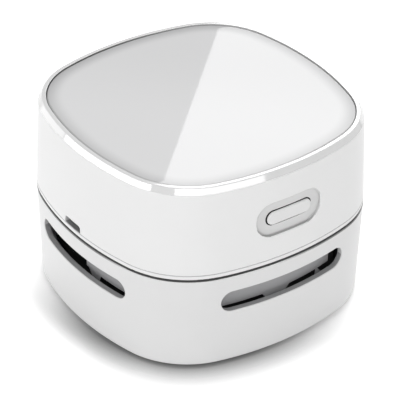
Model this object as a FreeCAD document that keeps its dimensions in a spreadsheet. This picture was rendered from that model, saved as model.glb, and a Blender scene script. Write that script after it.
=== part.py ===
"""Desktop mini vacuum cleaner: a head with fan, motor and battery that lifts off a dust box."""
import FreeCAD, Part
import math
import operator
import os
import Sketcher
from FreeCAD import Vector

# Driving dimensions, in millimetres and degrees.
SIZES = {
    # plan outline: four bowed sides joined by four round corners
    "half_width": 42.0,
    "side_radius": 84.0,
    "corner_radius": 25.0,
    # clearances
    "fit_gap": 0.15,
    "slide_gap": 0.3,
    "running_gap": 0.05,
    # lower housing
    "foot_height": 1.2,
    "lower_height": 28.6,
    "lower_draft": 1.0,
    "lower_wall": 2.0,
    "lower_edge_radius": 0.9,
    "lower_lip_radius": 0.3,
    "vent_length": 41.2,
    "vent_height": 6.6,
    "side_vent_length": 40.2,
    "side_vent_height": 6.2,
    "vent_drop": 8.4,
    "vent_edge_radius": 0.3,
    "base_boss_radius": 3.5,
    "base_boss_height": 7.1,
    "base_screw_inset": 5.9,
    # base plate, mouth and brushes
    "base_thickness": 1.5,
    "mouth_length": 40.0,
    "mouth_width": 9.0,
    "strip_length": 44.0,
    "strip_width": 3.0,
    "strip_margin": 1.0,
    "tuft_radius": 0.8,
    "tuft_pitch": 3.3,
    "tuft_clearance": 0.15,
    "pad_radius": 4.5,
    "pad_depth": 0.5,
    "pad_inset": 15.3,
    # dust tray and seal
    "floor_thickness": 1.2,
    "tray_inset": 11.0,
    "tray_wall": 1.4,
    "tray_depth": 7.1,
    "chimney_wall": 1.2,
    "chimney_height": 2.5,
    "seal_height": 2.0,
    "seal_margin": 0.4,
    "seal_lip": 1.5,
    # filter
    "filter_height": 2.5,
    "filter_bar": 3.0,
    "filter_rib": 1.6,
    "filter_rib_height": 0.7,
    "mesh_thickness": 1.0,
    # fan cover
    "cover_thickness": 1.2,
    "intake_radius": 15.0,
    "guard_width": 1.6,
    "guard_ring_radius": 7.5,
    "cover_screw_length": 11.6,
    # fan shroud
    "shroud_inset": 5.0,
    "shroud_wall": 1.6,
    "shroud_post_radius": 2.4,
    "shroud_post_inset": 8.4,
    "shroud_post_place": 1.5,
    "window_height": 2.7,
    "tall_window_height": 6.6,
    "window_reach": 12.0,
    # chassis
    "reveal_height": 0.8,
    "reveal_depth": 1.0,
    "band_height": 1.3,
    "band_edge_radius": 0.2,
    "spigot_gap": 0.4,
    "spigot_depth": 2.5,
    "fan_chamber_height": 8.2,
    "deck_thickness": 1.6,
    "deck_boss_radius": 2.2,
    "deck_boss_height": 1.2,
    "rib_width": 1.2,
    "rib_height": 1.5,
    "pillar_radius": 3.2,
    "pillar_height": 12.0,
    "pillar_inset": 10.25,
    "seat_thickness": 2.6,
    "seat_wall": 1.6,
    "seat_ring_height": 3.0,
    # upper housing
    "upper_height": 25.1,
    "upper_draft": 1.0,
    "upper_wall": 2.0,
    "crown_wall": 1.8,
    "upper_boss_radius": 3.0,
    "socket_opening_width": 7.5,
    "socket_opening_height": 2.1,
    "socket_corner_radius": 1.0,
    "socket_place": 1.25,
    # rim ring and top plate
    "rim_height": 1.6,
    "rim_bevel": 1.1,
    "rim_lip": 1.1,
    "rim_edge_radius": 0.25,
    "plate_recess": 0.3,
    "plate_edge_radius": 0.5,
    # power button
    "button_drop": 12.6,
    "recess_length": 21.3,
    "recess_height": 10.4,
    "recess_depth": 0.7,
    "recess_edge_radius": 0.4,
    "button_length": 14.6,
    "button_height": 4.1,
    "button_sink": 0.25,
    "button_edge_radius": 0.5,
    "flange_length": 16.6,
    "flange_height": 6.5,
    "flange_thickness": 1.0,
    "flange_gap": 0.75,
    # switch
    "switch_size": 8.0,
    "switch_depth": 6.0,
    "switch_hole_depth": 3.0,
    "plunger_size": 3.0,
    "plunger_length": 3.9,
    "plunger_gap": 0.1,
    "switch_board_length": 28.0,
    "switch_board_height": 11.0,
    "switch_board_inset": 12.5,
    "board_thickness": 1.2,
    "switch_boss_radius": 2.3,
    "switch_boss_place": 11.5,
    # circuit board
    "board_inset": 4.0,
    "board_length": 21.0,
    "board_front": 12.0,
    "board_back": 14.0,
    "board_post_radius": 2.3,
    "board_screw_inset": 3.5,
    "socket_width": 7.4,
    "socket_height": 2.4,
    "socket_depth": 5.6,
    "socket_shell": 0.35,
    "tongue_thickness": 0.7,
    "tongue_width": 4.4,
    "chip_length": 6.0,
    "chip_width": 5.0,
    "chip_height": 1.4,
    "capacitor_radius": 2.5,
    "capacitor_height": 6.0,
    "capacitor_gap": 1.2,
    "lead_socket_length": 4.6,
    "lead_socket_width": 4.0,
    "lead_socket_height": 4.0,
    # battery
    "cell_radius": 7.1,
    "cell_end_gap": 0.8,
    "cell_edge": 0.6,
    "cell_inset": 17.2,
    "tab_thickness": 0.2,
    "tab_width": 5.0,
    "cell_pad": 0.6,
    "cradle_place": 14.0,
    "cradle_width": 3.0,
    "cradle_height": 6.0,
    "cradle_reach": 9.0,
    # motor
    "motor_radius": 12.0,
    "motor_height": 21.0,
    "motor_wall": 0.9,
    "motor_front": 1.2,
    "nose_radius": 3.1,
    "nose_height": 1.4,
    "bush_radius": 2.0,
    "bush_height": 2.6,
    "shaft_radius": 1.0,
    "magnet_thickness": 2.5,
    "magnet_height": 14.0,
    "magnet_span": 130.0,
    "air_gap": 0.4,
    "core_height": 10.0,
    "slot_root_radius": 3.7,
    "slot_width": 2.4,
    "winding_bulge": 1.4,
    "commutator_radius": 2.6,
    "commutator_height": 3.0,
    "cap_depth": 1.2,
    "cap_flange": 1.3,
    "cap_boss_radius": 3.6,
    "cap_boss_height": 1.3,
    "terminal_place": 7.0,
    "terminal_width": 2.5,
    "terminal_thickness": 0.5,
    "terminal_height": 3.0,
    "brush_leaf": 0.5,
    "motor_screw_place": 8.0,
    # impeller
    "impeller_radius": 24.0,
    "impeller_gap": 1.0,
    "backplate_thickness": 1.0,
    "hub_radius": 4.5,
    "hub_gap": 2.0,
    "blade_root_radius": 10.0,
    "blade_tip_radius": 23.5,
    "blade_curve_radius": 16.0,
    "blade_curve_place": 18.0,
    "blade_thickness": 1.0,
    # screws and leads
    "screw_radius": 1.0,
    "screw_head_radius": 1.9,
    "screw_head_height": 1.1,
    "screw_length": 6.0,
    "case_screw_head_depth": 9.0,
    "case_screw_length": 9.0,
    "lead_radius": 0.6,
    "lead_pitch": 1.8,
}

BLADES = 11
TUFTS = 13
# How near an edge must be to a level or an outline to count as lying on it.
TOUCH = 0.05
# Share of its shorter run that a lead's bend takes, and how far a tube's volume may be off.
BEND_SHARE = 0.45
VOLUME_SHARE = 0.02
# Windows of the fan shroud along each side: lower left, upper left, upper right and lower right.
FRONT_WINDOWS = ((-18.0, -18.0, -5.0, -3.0), (1.4, 4.2, 14.0, 14.0), (17.0, 15.0, 19.5, 19.5))
FRONT_TALL_WINDOW = (19.5, 24.5)
SIDE_WINDOWS = ((-19.5, -19.5, -5.0, -4.0), (-1.5, 1.0, 2.0, 2.0))
SIDE_TALL_WINDOW = (2.0, 22.0)


# ---------------------------------------------------------------- sizes and expressions

class Size:
    """A length that knows both its value and the sheet expression that gives it."""

    def __init__(self, value, text):
        self.value = value
        self.text = text

    def __add__(self, other):
        return combine(self, "+", other, operator.add)

    def __sub__(self, other):
        return combine(self, "-", other, operator.sub)

    def __rsub__(self, other):
        return combine(other, "-", self, operator.sub)

    def __mul__(self, other):
        return combine(self, "*", other, operator.mul)

    def __truediv__(self, other):
        return combine(self, "/", other, operator.truediv)

    def __neg__(self):
        return Size(-self.value, f"(-{self.text})")


def as_size(amount):
    if isinstance(amount, Size):
        return amount
    return Size(float(amount), f"({float(amount)})")


def combine(left, sign, right, action):
    left = as_size(left)
    right = as_size(right)
    return Size(action(left.value, right.value), f"({left.text} {sign} {right.text})")


def square_root(amount):
    return Size(math.sqrt(amount.value), f"sqrt({amount.text})")


def larger(one, other):
    return one if one.value > other.value else other


document = FreeCAD.newDocument("desktop_vacuum")
sheet = document.addObject("Spreadsheet::Sheet", "sizes")
for row, (word, amount) in enumerate(SIZES.items(), start=1):
    sheet.set(f"A{row}", word)
    sheet.set(f"B{row}", str(amount))
    sheet.setAlias(f"B{row}", word)
document.recompute()


class Sheet:
    """Every size of the sheet as an attribute."""


size = Sheet()
for word, amount in SIZES.items():
    setattr(size, word, Size(amount, f"sizes.{word}"))

# Levels, from the desk upwards.
lower_bottom = size.foot_height
lower_top = lower_bottom + size.lower_height
base_top = lower_bottom + size.base_thickness
floor_top = base_top + size.floor_thickness
tray_top = floor_top + size.tray_depth
cover_bottom = tray_top + size.seal_height
cover_top = cover_bottom + size.cover_thickness
deck_bottom = cover_top + size.fan_chamber_height
deck_top = deck_bottom + size.deck_thickness
motor_face = deck_bottom + size.seat_thickness
band_bottom = lower_top + size.reveal_height
band_top = band_bottom + size.band_height
pillar_top = deck_top + size.pillar_height
upper_top = band_top + size.upper_height
crown_bottom = upper_top - size.crown_wall
rim_top = upper_top + size.rim_height
plate_top = rim_top - size.plate_recess
vent_level = lower_top - size.vent_drop
button_level = upper_top - size.button_drop

# Centre of the corner arcs, the same on both axes, where they meet the side arcs in a tangent.
side_centre = size.half_width - size.side_radius
centre_span = size.side_radius - size.corner_radius
corner_centre = (side_centre + square_root(centre_span * centre_span * 2 - side_centre * side_centre)) / 2


def corner_place(inset):
    """Distance along each axis to the point of the corner diagonal that lies so far inside the outline."""
    return corner_centre + (size.corner_radius - inset) / math.sqrt(2)


# ---------------------------------------------------------------- bodies and sketches

PLANES = {"flat": "XY_Plane", "front": "XZ_Plane", "side": "YZ_Plane"}


def new_body(label):
    body = document.addObject("PartDesign::Body", label)
    body.Label = label
    body.AllowCompound = True
    return body


def new_sketch(body, name, plane="flat", level=None, across=None):
    """A sketch on an origin plane, lifted by level along its normal and moved by across along its x."""
    sketch = body.newObject("Sketcher::SketchObject", f"{body.Label}_{name}")
    roles = {feature.Role: feature for feature in body.Origin.OriginFeatures}
    sketch.AttachmentSupport = [(roles[PLANES[plane]], "")]
    sketch.MapMode = "FlatFace"
    if level is not None:
        sketch.setExpression(".AttachmentOffset.Base.z", level.text)
    if across is not None:
        sketch.setExpression(".AttachmentOffset.Base.x", across.text)
    return sketch


def bind(sketch, kind, *references_and_size):
    """A dimension whose value follows an expression."""
    *references, length = references_and_size
    index = sketch.addConstraint(Sketcher.Constraint(kind, *references, length.value))
    sketch.setExpression(f"Constraints[{index}]", length.text)


def pin_point(sketch, geometry, point, x, y):
    """Fixes a point of a sketch by its two coordinates."""
    for kind, axis, length in (("DistanceX", -2, as_size(x)), ("DistanceY", -1, as_size(y))):
        if length.value == 0:
            sketch.addConstraint(Sketcher.Constraint("PointOnObject", geometry, point, axis))
        else:
            bind(sketch, kind, -1, 1, geometry, point, length)


def draw_circle(sketch, x, y, radius):
    x, y = as_size(x), as_size(y)
    circle = Part.Circle(Vector(x.value, y.value, 0), Vector(0, 0, 1), radius.value)
    index = sketch.addGeometry(circle, False)
    pin_point(sketch, index, 3, x, y)
    bind(sketch, "Radius", index, radius)


def draw_polygon(sketch, corners):
    corners = [(as_size(x), as_size(y)) for x, y in corners]
    points = [Vector(x.value, y.value, 0) for x, y in corners]
    ends = points[1:] + points[:1]
    lines = [sketch.addGeometry(Part.LineSegment(a, b), False) for a, b in zip(points, ends)]
    for line, following in zip(lines, lines[1:] + lines[:1]):
        sketch.addConstraint(Sketcher.Constraint("Coincident", line, 2, following, 1))
    for line, (x, y) in zip(lines, corners):
        pin_point(sketch, line, 1, x, y)


def draw_rectangle(sketch, left, right, bottom, top):
    draw_polygon(sketch, [(left, bottom), (right, bottom), (right, top), (left, top)])


def draw_slot(sketch, x, y, length, height):
    """A slot with round ends, along the sketch's x."""
    x, y = as_size(x), as_size(y)
    radius = height / 2
    reach = (length - height) / 2
    right, left = x + reach, x - reach
    half_turn = math.pi / 2
    arcs = []
    for centre, turn in ((right, -half_turn), (left, half_turn)):
        circle = Part.Circle(Vector(centre.value, y.value, 0), Vector(0, 0, 1), radius.value)
        arcs.append(sketch.addGeometry(Part.ArcOfCircle(circle, turn, turn + math.pi), False))
    lines = []
    for start, end, side in ((right, left, radius.value), (left, right, -radius.value)):
        begin = Vector(start.value, y.value + side, 0)
        finish = Vector(end.value, y.value + side, 0)
        lines.append(sketch.addGeometry(Part.LineSegment(begin, finish), False))
    loop = (arcs[0], lines[0], arcs[1], lines[1])
    for piece, following in zip(loop, loop[1:] + loop[:1]):
        sketch.addConstraint(Sketcher.Constraint("Tangent", piece, 2, following, 1))
    pin_point(sketch, arcs[0], 3, right, y)
    pin_point(sketch, arcs[1], 3, left, y)
    sketch.addConstraint(Sketcher.Constraint("Equal", arcs[0], arcs[1]))
    bind(sketch, "Radius", arcs[0], radius)


def draw_outline(sketch, inset):
    """The plan outline at a distance inside the nominal one: every arc keeps its centre."""
    inset = as_size(inset)
    side = size.side_radius - inset
    corner = size.corner_radius - inset
    reach = corner_centre.value
    meeting = math.atan2(reach, reach - side_centre.value)
    arcs = []
    for quarter in range(4):
        turn = quarter * math.pi / 2
        middle = Vector(side_centre.value * math.cos(turn), side_centre.value * math.sin(turn), 0)
        diagonal = turn + math.pi / 4
        heart = Vector(math.cos(diagonal), math.sin(diagonal), 0) * reach * math.sqrt(2)
        for centre, radius, start, end in (
            (middle, side.value, turn - meeting, turn + meeting),
            (heart, corner.value, turn + meeting, turn + math.pi / 2 - meeting),
        ):
            circle = Part.Circle(centre, Vector(0, 0, 1), radius)
            arcs.append(sketch.addGeometry(Part.ArcOfCircle(circle, start, end), False))
    for arc, following in zip(arcs, arcs[1:] + arcs[:1]):
        sketch.addConstraint(Sketcher.Constraint("Tangent", arc, 2, following, 1))
    for arc, direction in zip(arcs[0::2], ((1, 0), (0, 1), (-1, 0), (0, -1))):
        pin_point(sketch, arc, 3, side_centre * direction[0], side_centre * direction[1])
    for first, radius in ((0, side), (1, corner)):
        for arc in arcs[first + 2::2]:
            sketch.addConstraint(Sketcher.Constraint("Equal", arcs[first], arc))
        bind(sketch, "Radius", arcs[first], radius)


# ---------------------------------------------------------------- features

def feature_of(body, kind, sketch):
    feature = body.newObject(f"PartDesign::{kind}", f"{sketch.Name}_{kind.lower()}")
    feature.Profile = sketch
    sketch.Visibility = False
    return feature


def pad(sketch, length, reverse=False):
    """Material from the sketch along its normal, or against it."""
    feature = feature_of(sketch.getParentGeoFeatureGroup(), "Pad", sketch)
    feature.Reversed = reverse
    feature.setExpression("Length", length.text)
    return feature


def cut(sketch, length, reverse=False):
    """A recess from the sketch along its normal, or against it."""
    body = sketch.getParentGeoFeatureGroup()
    document.recompute()
    before = body.Shape.Volume
    feature = feature_of(body, "Pocket", sketch)
    feature.Reversed = not reverse
    feature.setExpression("Length", length.text)
    document.recompute()
    if body.Shape.Volume >= before:
        raise ValueError(f"{feature.Name} removes nothing")
    return feature


def cut_through(sketch):
    """An opening right through the body, to both sides of the sketch."""
    feature = feature_of(sketch.getParentGeoFeatureGroup(), "Pocket", sketch)
    feature.Type = "ThroughAll"
    feature.Midplane = True
    return feature


def turn(sketch, kind="Revolution"):
    """The sketch turned a full circle round its own vertical axis."""
    feature = feature_of(sketch.getParentGeoFeatureGroup(), kind, sketch)
    feature.ReferenceAxis = (sketch, ["V_Axis"])
    feature.Angle = 360
    return feature


def loft(lower_sketch, upper_sketch, kind="AdditiveLoft"):
    feature = feature_of(lower_sketch.getParentGeoFeatureGroup(), kind, lower_sketch)
    feature.Sections = [upper_sketch]
    feature.Ruled = True
    upper_sketch.Visibility = False
    return feature


def around(feature, count=4):
    """Copies of a feature round the vertical axis."""
    body = feature.getParentGeoFeatureGroup()
    document.recompute()
    roles = {item.Role: item for item in body.Origin.OriginFeatures}
    pattern = body.newObject("PartDesign::PolarPattern", f"{feature.Name}_around")
    pattern.Originals = [feature]
    pattern.Axis = (roles["Z_Axis"], [""])
    pattern.Angle = 360
    pattern.Occurrences = count
    body.Tip = pattern
    document.recompute()
    return pattern


def round_edges(body, name, radius, chosen):
    """A fillet on the edges of the body that the test picks."""
    document.recompute()
    base = body.Tip
    edges = [f"Edge{number}" for number, edge in enumerate(base.Shape.Edges, start=1) if chosen(edge)]
    if not edges:
        raise ValueError(f"{body.Label} has no edge for {name}")
    fillet = body.newObject("PartDesign::Fillet", f"{body.Label}_{name}")
    fillet.Base = (base, edges)
    fillet.setExpression("Radius", radius.text)
    document.recompute()
    return fillet


def lies_at(edge, level, coordinate="Z"):
    """Whether an edge lies in the plane at a level of one coordinate."""
    box = edge.BoundBox
    low, high = getattr(box, f"{coordinate}Min"), getattr(box, f"{coordinate}Max")
    return abs(low - level.value) < TOUCH and abs(high - level.value) < TOUCH


def inset_of(edge):
    """How far the middle of an edge lies inside the nominal plan outline."""
    middle = edge.valueAt((edge.FirstParameter + edge.LastParameter) / 2)
    near, far = sorted((abs(middle.x), abs(middle.y)))
    reach = corner_centre.value
    beside = math.hypot(far - side_centre.value, near)
    if math.atan2(near, far - side_centre.value) < math.atan2(reach, reach - side_centre.value):
        return size.side_radius.value - beside
    return size.corner_radius.value - math.hypot(far - reach, near - reach)


def on_outline(edge, inset):
    return abs(inset_of(edge) - as_size(inset).value) < TOUCH


def block(body, name, inset, bottom, top):
    """A straight slab of the plan outline between two levels."""
    sketch = new_sketch(body, name, level=bottom)
    draw_outline(sketch, inset)
    return pad(sketch, top - bottom)


def frame(body, name, outer_inset, inner_inset, bottom, top):
    """A straight wall between two outlines."""
    sketch = new_sketch(body, name, level=bottom)
    draw_outline(sketch, outer_inset)
    draw_outline(sketch, inner_inset)
    return pad(sketch, top - bottom)


def hollow(body, name, inset, bottom, top):
    """The inside of the plan outline cut out between two levels."""
    sketch = new_sketch(body, name, level=bottom)
    draw_outline(sketch, inset)
    return cut(sketch, top - bottom)


def drafted(body, name, bottom_inset, bottom, top_inset, top, kind="AdditiveLoft"):
    """A slab of the plan outline whose walls lean from one inset to another."""
    lower_sketch = new_sketch(body, f"{name}_bottom", level=bottom)
    draw_outline(lower_sketch, bottom_inset)
    upper_sketch = new_sketch(body, f"{name}_top", level=top)
    draw_outline(upper_sketch, top_inset)
    return loft(lower_sketch, upper_sketch, kind)


def post(body, name, x, y, radius, bottom, top):
    sketch = new_sketch(body, name, level=bottom)
    draw_circle(sketch, x, y, radius)
    return pad(sketch, top - bottom)


def hole(body, name, x, y, radius, bottom, top):
    sketch = new_sketch(body, name, level=bottom)
    draw_circle(sketch, x, y, radius)
    return cut(sketch, top - bottom)


def turned(body, name, outline, x=None, y=None, kind="Revolution"):
    """A turned shape, from its half outline in radius and height, about a vertical line at x and y."""
    level = None if y is None else -y
    sketch = new_sketch(body, name, "front", level=level, across=x)
    draw_polygon(sketch, outline)
    return turn(sketch, kind)


def screw_outline(head_bottom, length, head_radius):
    """Half outline of a countersunk screw that points up."""
    neck = head_bottom + size.screw_head_height
    tip = head_bottom + length
    return [(0, head_bottom), (head_radius, head_bottom), (size.screw_radius, neck),
            (size.screw_radius, tip), (0, tip)]


def pan_outline(head_bottom, length):
    """Half outline of a screw with a flat-topped head that points up."""
    neck = head_bottom + size.screw_head_height
    tip = neck + length
    return [(0, head_bottom), (size.screw_head_radius, head_bottom), (size.screw_head_radius, neck),
            (size.screw_radius, neck), (size.screw_radius, tip), (0, tip)]


# ---------------------------------------------------------------- dust box

inner_bottom_inset = size.lower_draft + size.lower_wall
base_inset = inner_bottom_inset + size.fit_gap
base_screw_place = corner_place(size.base_screw_inset)


def make_lower_housing():
    """Open drafted shell with a long vent in each side and four screw bosses in its corners."""
    body = new_body("lower_housing")
    drafted(body, "outside", size.lower_draft, lower_bottom, 0, lower_top)
    drafted(body, "inside", inner_bottom_inset, lower_bottom, size.lower_wall, lower_top, "SubtractiveLoft")
    round_edges(body, "bottom_edge", size.lower_edge_radius,
                lambda edge: lies_at(edge, lower_bottom) and on_outline(edge, size.lower_draft))
    round_edges(body, "top_edge", size.lower_lip_radius, lambda edge: lies_at(edge, lower_top))
    for plane, length, height in (("front", size.vent_length, size.vent_height),
                                  ("side", size.side_vent_length, size.side_vent_height)):
        sketch = new_sketch(body, f"vent_{plane}", plane)
        draw_slot(sketch, 0, vent_level, length, height)
        cut_through(sketch)
    vent_low = (vent_level - size.vent_height / 2).value - TOUCH
    vent_high = (vent_level + size.vent_height / 2).value + TOUCH
    round_edges(body, "vent_edge", size.vent_edge_radius,
                lambda edge: edge.BoundBox.ZMin > vent_low and edge.BoundBox.ZMax < vent_high
                and edge.Length > size.vent_height.value)
    boss_top = floor_top + size.base_boss_height
    around(post(body, "boss", base_screw_place, base_screw_place, size.base_boss_radius, floor_top, boss_top))
    around(hole(body, "pilot", base_screw_place, base_screw_place, size.screw_radius, floor_top,
                lower_bottom + size.screw_length))
    return body


def make_dust_tray():
    """Flat floor with the chimney that crumbs come up."""
    body = new_body("dust_tray")
    block(body, "floor", base_inset, base_top, floor_top)
    sketch = new_sketch(body, "chimney", level=floor_top)
    wall = size.chimney_wall * 2
    draw_slot(sketch, 0, 0, size.mouth_length + wall, size.mouth_width + wall)
    pad(sketch, size.chimney_height)
    cut_mouth(body, base_top, floor_top + size.chimney_height)
    clearance = size.screw_radius + size.fit_gap
    around(hole(body, "screw_hole", base_screw_place, base_screw_place, clearance, base_top, floor_top))
    return body


def make_tray_wall():
    """Upright ring on the tray's floor that keeps the dust in and carries the seal."""
    body = new_body("tray_wall")
    frame(body, "ring", size.tray_inset, size.tray_inset + size.tray_wall, floor_top, tray_top)
    return body


def cut_mouth(body, bottom, top):
    sketch = new_sketch(body, "mouth", level=bottom)
    draw_slot(sketch, 0, 0, size.mouth_length, size.mouth_width)
    cut(sketch, top - bottom)


def draw_strips(sketch, play=0):
    """The two brush strips, one along each long side of the mouth."""
    near = size.mouth_width / 2 + size.strip_margin
    reach = size.strip_length / 2 + play
    draw_rectangle(sketch, -reach, reach, near - play, near + size.strip_width + play)
    draw_rectangle(sketch, -reach, reach, -near - size.strip_width - play, -near + play)


def make_base_plate():
    """Bottom cover with the mouth, the slots of the brush strips and the seats of the pads."""
    body = new_body("base_plate")
    block(body, "plate", base_inset, lower_bottom, base_top)
    cut_mouth(body, lower_bottom, base_top)
    sketch = new_sketch(body, "strip_slots", level=lower_bottom)
    draw_strips(sketch, size.fit_gap)
    cut(sketch, size.base_thickness)
    place = corner_place(size.pad_inset)
    seat_radius = size.pad_radius + size.fit_gap
    around(hole(body, "pad_seat", place, place, seat_radius, lower_bottom, lower_bottom + size.pad_depth))
    outline = widened(screw_outline(lower_bottom, size.screw_length, size.screw_head_radius))
    around(turned(body, "screw_hole", outline, base_screw_place, base_screw_place, "Groove"))
    return body


def widened(outline):
    """A screw's half outline with clearance all round, for its hole."""
    return [(radius if radius == 0 else radius + size.fit_gap, level) for radius, level in outline]


def make_brush_strips():
    """Two bars that hold the bristles, clamped between base plate and tray floor."""
    body = new_body("brush_strips")
    sketch = new_sketch(body, "bars", level=lower_bottom)
    draw_strips(sketch)
    pad(sketch, size.base_thickness)
    return body


def make_brush_tufts():
    """A row of short bristle tufts under each strip."""
    body = new_body("brush_tufts")
    sketch = new_sketch(body, "rows", level=size.tuft_clearance)
    row_place = (size.mouth_width + size.strip_width) / 2 + size.strip_margin
    for tuft in range(TUFTS):
        x = size.tuft_pitch * (tuft - (TUFTS - 1) / 2)
        for y in (row_place, -row_place):
            draw_circle(sketch, x, y, size.tuft_radius)
    pad(sketch, lower_bottom - size.tuft_clearance)
    return body


def make_corner_group(label, outline, inset):
    """Four turned pieces, one on each corner diagonal."""
    body = new_body(label)
    around(turned(body, "piece", outline, corner_place(inset), corner_place(inset)))
    return body


def make_glide_pads():
    """Four round rubber pads, part sunk in the base plate."""
    edge = size.fit_gap * 2
    top = lower_bottom + size.pad_depth
    outline = [(0, 0), (size.pad_radius - edge, 0), (size.pad_radius, edge), (size.pad_radius, top), (0, top)]
    return make_corner_group("glide_pads", outline, size.pad_inset)


def make_base_screws():
    outline = screw_outline(lower_bottom, size.screw_length, size.screw_head_radius)
    return make_corner_group("base_screws", outline, size.base_screw_inset)


seal_outer_inset = size.tray_inset - size.seal_margin
seal_inner_inset = size.tray_inset + size.tray_wall + size.seal_lip


def make_seal_ring():
    """Rubber ring under the fan cover that closes on the tray's wall."""
    body = new_body("seal_ring")
    frame(body, "ring", seal_outer_inset, seal_inner_inset, tray_top, cover_bottom)
    return body


# ---------------------------------------------------------------- filter, fan cover and shroud

filter_inset = seal_inner_inset + size.slide_gap
filter_bottom = cover_bottom - size.filter_height
mesh_inset = filter_inset + size.filter_bar
mesh_bottom = filter_bottom + size.filter_rib_height
well_inset = size.shroud_inset + size.shroud_wall
cover_screw_reach = size.half_width - size.shroud_post_inset
cover_screw_places = (("front", -size.shroud_post_place, -cover_screw_reach),
                      ("side", -cover_screw_reach, -size.shroud_post_place))


def make_filter_frame():
    """Square frame with a cross of ribs under the mesh, pushed into the rubber ring."""
    body = new_body("filter_frame")
    frame(body, "frame", filter_inset, mesh_inset, filter_bottom, cover_bottom)
    half = size.filter_rib / 2
    reach = size.half_width - mesh_inset + half
    for name, across, along in (("rib_x", reach, half), ("rib_y", half, reach)):
        sketch = new_sketch(body, name, level=filter_bottom)
        draw_rectangle(sketch, -across, across, -along, along)
        pad(sketch, size.filter_rib_height)
    return body


def make_filter_mesh():
    body = new_body("filter_mesh")
    block(body, "mesh", mesh_inset + size.running_gap, mesh_bottom, mesh_bottom + size.mesh_thickness)
    return body


def make_fan_cover():
    """Floor of the fan chamber with a round guarded intake and four screw seats."""
    body = new_body("fan_cover")
    block(body, "plate", size.shroud_inset, cover_bottom, cover_top)
    hole(body, "intake", 0, 0, size.intake_radius, cover_bottom, cover_top)
    half = size.guard_width / 2
    reach = size.intake_radius + half
    for name, across, along in (("guard_x", reach, half), ("guard_y", half, reach)):
        sketch = new_sketch(body, name, level=cover_bottom)
        draw_rectangle(sketch, -across, across, -along, along)
        pad(sketch, size.cover_thickness)
    sketch = new_sketch(body, "guard_ring", level=cover_bottom)
    draw_circle(sketch, 0, 0, size.guard_ring_radius + half)
    draw_circle(sketch, 0, 0, size.guard_ring_radius - half)
    pad(sketch, size.cover_thickness)
    outline = widened(screw_outline(cover_bottom, size.cover_screw_length, size.screw_head_radius))
    for name, x, y in cover_screw_places:
        around(turned(body, f"screw_hole_{name}", outline, x, y, "Groove"), 2)
    return body


def make_cover_screws():
    """Four long screws up through fan cover and shroud into the deck, one near the middle of each side."""
    body = new_body("cover_screws")
    outline = screw_outline(cover_bottom, size.cover_screw_length, size.screw_head_radius)
    for name, x, y in cover_screw_places:
        around(turned(body, name, outline, x, y), 2)
    return body


def make_fan_shroud():
    """Ring wall round the fan with a post for each cover screw and windows towards the vents."""
    body = new_body("fan_shroud")
    frame(body, "ring", size.shroud_inset, well_inset, cover_top, deck_bottom)
    for name, x, y in cover_screw_places:
        around(post(body, f"post_{name}", x, y, size.shroud_post_radius, cover_top, deck_bottom), 2)
    cut_windows(body)
    clearance = size.screw_radius + size.fit_gap
    for name, x, y in cover_screw_places:
        around(hole(body, f"screw_{name}", x, y, clearance, cover_top, deck_bottom), 2)
    return body


def cut_windows(body):
    """Openings in the wall from its lower edge up, in pairs on facing sides, some with a slanted side."""
    low_top = cover_top + size.window_height
    tall_top = cover_top + size.tall_window_height
    for plane, level, reverse, windows, tall in (
        ("front", size.half_width, True, FRONT_WINDOWS, FRONT_TALL_WINDOW),
        ("side", -size.half_width, False, SIDE_WINDOWS, SIDE_TALL_WINDOW),
    ):
        shapes = [[(low_left, cover_top), (high_left, low_top), (high_right, low_top), (low_right, cover_top)]
                  for low_left, high_left, high_right, low_right in windows]
        left, right = tall
        shapes.append([(left, cover_top), (left, tall_top), (right, tall_top), (right, cover_top)])
        for number, shape in enumerate(shapes, start=1):
            sketch = new_sketch(body, f"{plane}_window_{number}", plane, level=level)
            draw_polygon(sketch, shape)
            around(cut(sketch, size.window_reach, reverse), 2)


# ---------------------------------------------------------------- chassis

pillar_place = corner_place(size.pillar_inset)
case_screw_bottom = deck_bottom + size.case_screw_head_depth
cell_place = size.half_width - size.cell_inset
cell_length = (pillar_place - size.pillar_radius - size.cell_end_gap) * 2
cell_level = deck_top + size.cell_pad + size.cell_radius + size.running_gap
board_left = size.board_inset - size.half_width
board_right = board_left + size.board_length
board_bottom = band_top + size.running_gap + size.socket_height
board_screw_places = (
    (board_right - size.board_screw_inset, size.board_screw_inset - size.board_front),
    (board_right - size.board_screw_inset, size.board_back - size.board_screw_inset),
)


def make_chassis():
    """One moulding: outer band, spigot, tub with its deck, motor seat, pillars and posts."""
    body = new_body("chassis")
    block(body, "tub", size.shroud_inset, deck_bottom, band_bottom)
    block(body, "spigot", size.lower_wall + size.spigot_gap, lower_top - size.spigot_depth, lower_top)
    block(body, "reveal", size.reveal_depth, lower_top, band_bottom)
    block(body, "band", 0, band_bottom, band_top)
    hollow(body, "well", well_inset, deck_top, band_top)
    round_edges(body, "band_edge", size.band_edge_radius,
                lambda edge: on_outline(edge, 0)
                and (lies_at(edge, band_top) or lies_at(edge, band_bottom)))
    rib_inset = size.upper_wall + size.fit_gap
    frame(body, "locating_rib", rib_inset, rib_inset + size.rib_width, band_top, band_top + size.rib_height)
    cut_socket_gap(body)
    make_motor_seat(body)
    make_pillars(body)
    make_cradle(body)
    make_board_posts(body)
    return body


def cut_socket_gap(body):
    """The locating rib is open where the charging socket passes."""
    reach = size.socket_width / 2 + size.slide_gap
    sketch = new_sketch(body, "socket_gap", level=band_top)
    draw_rectangle(sketch, -size.half_width, well_inset - size.half_width,
                   size.socket_place - reach, size.socket_place + reach)
    cut(sketch, size.rib_height)


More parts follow.
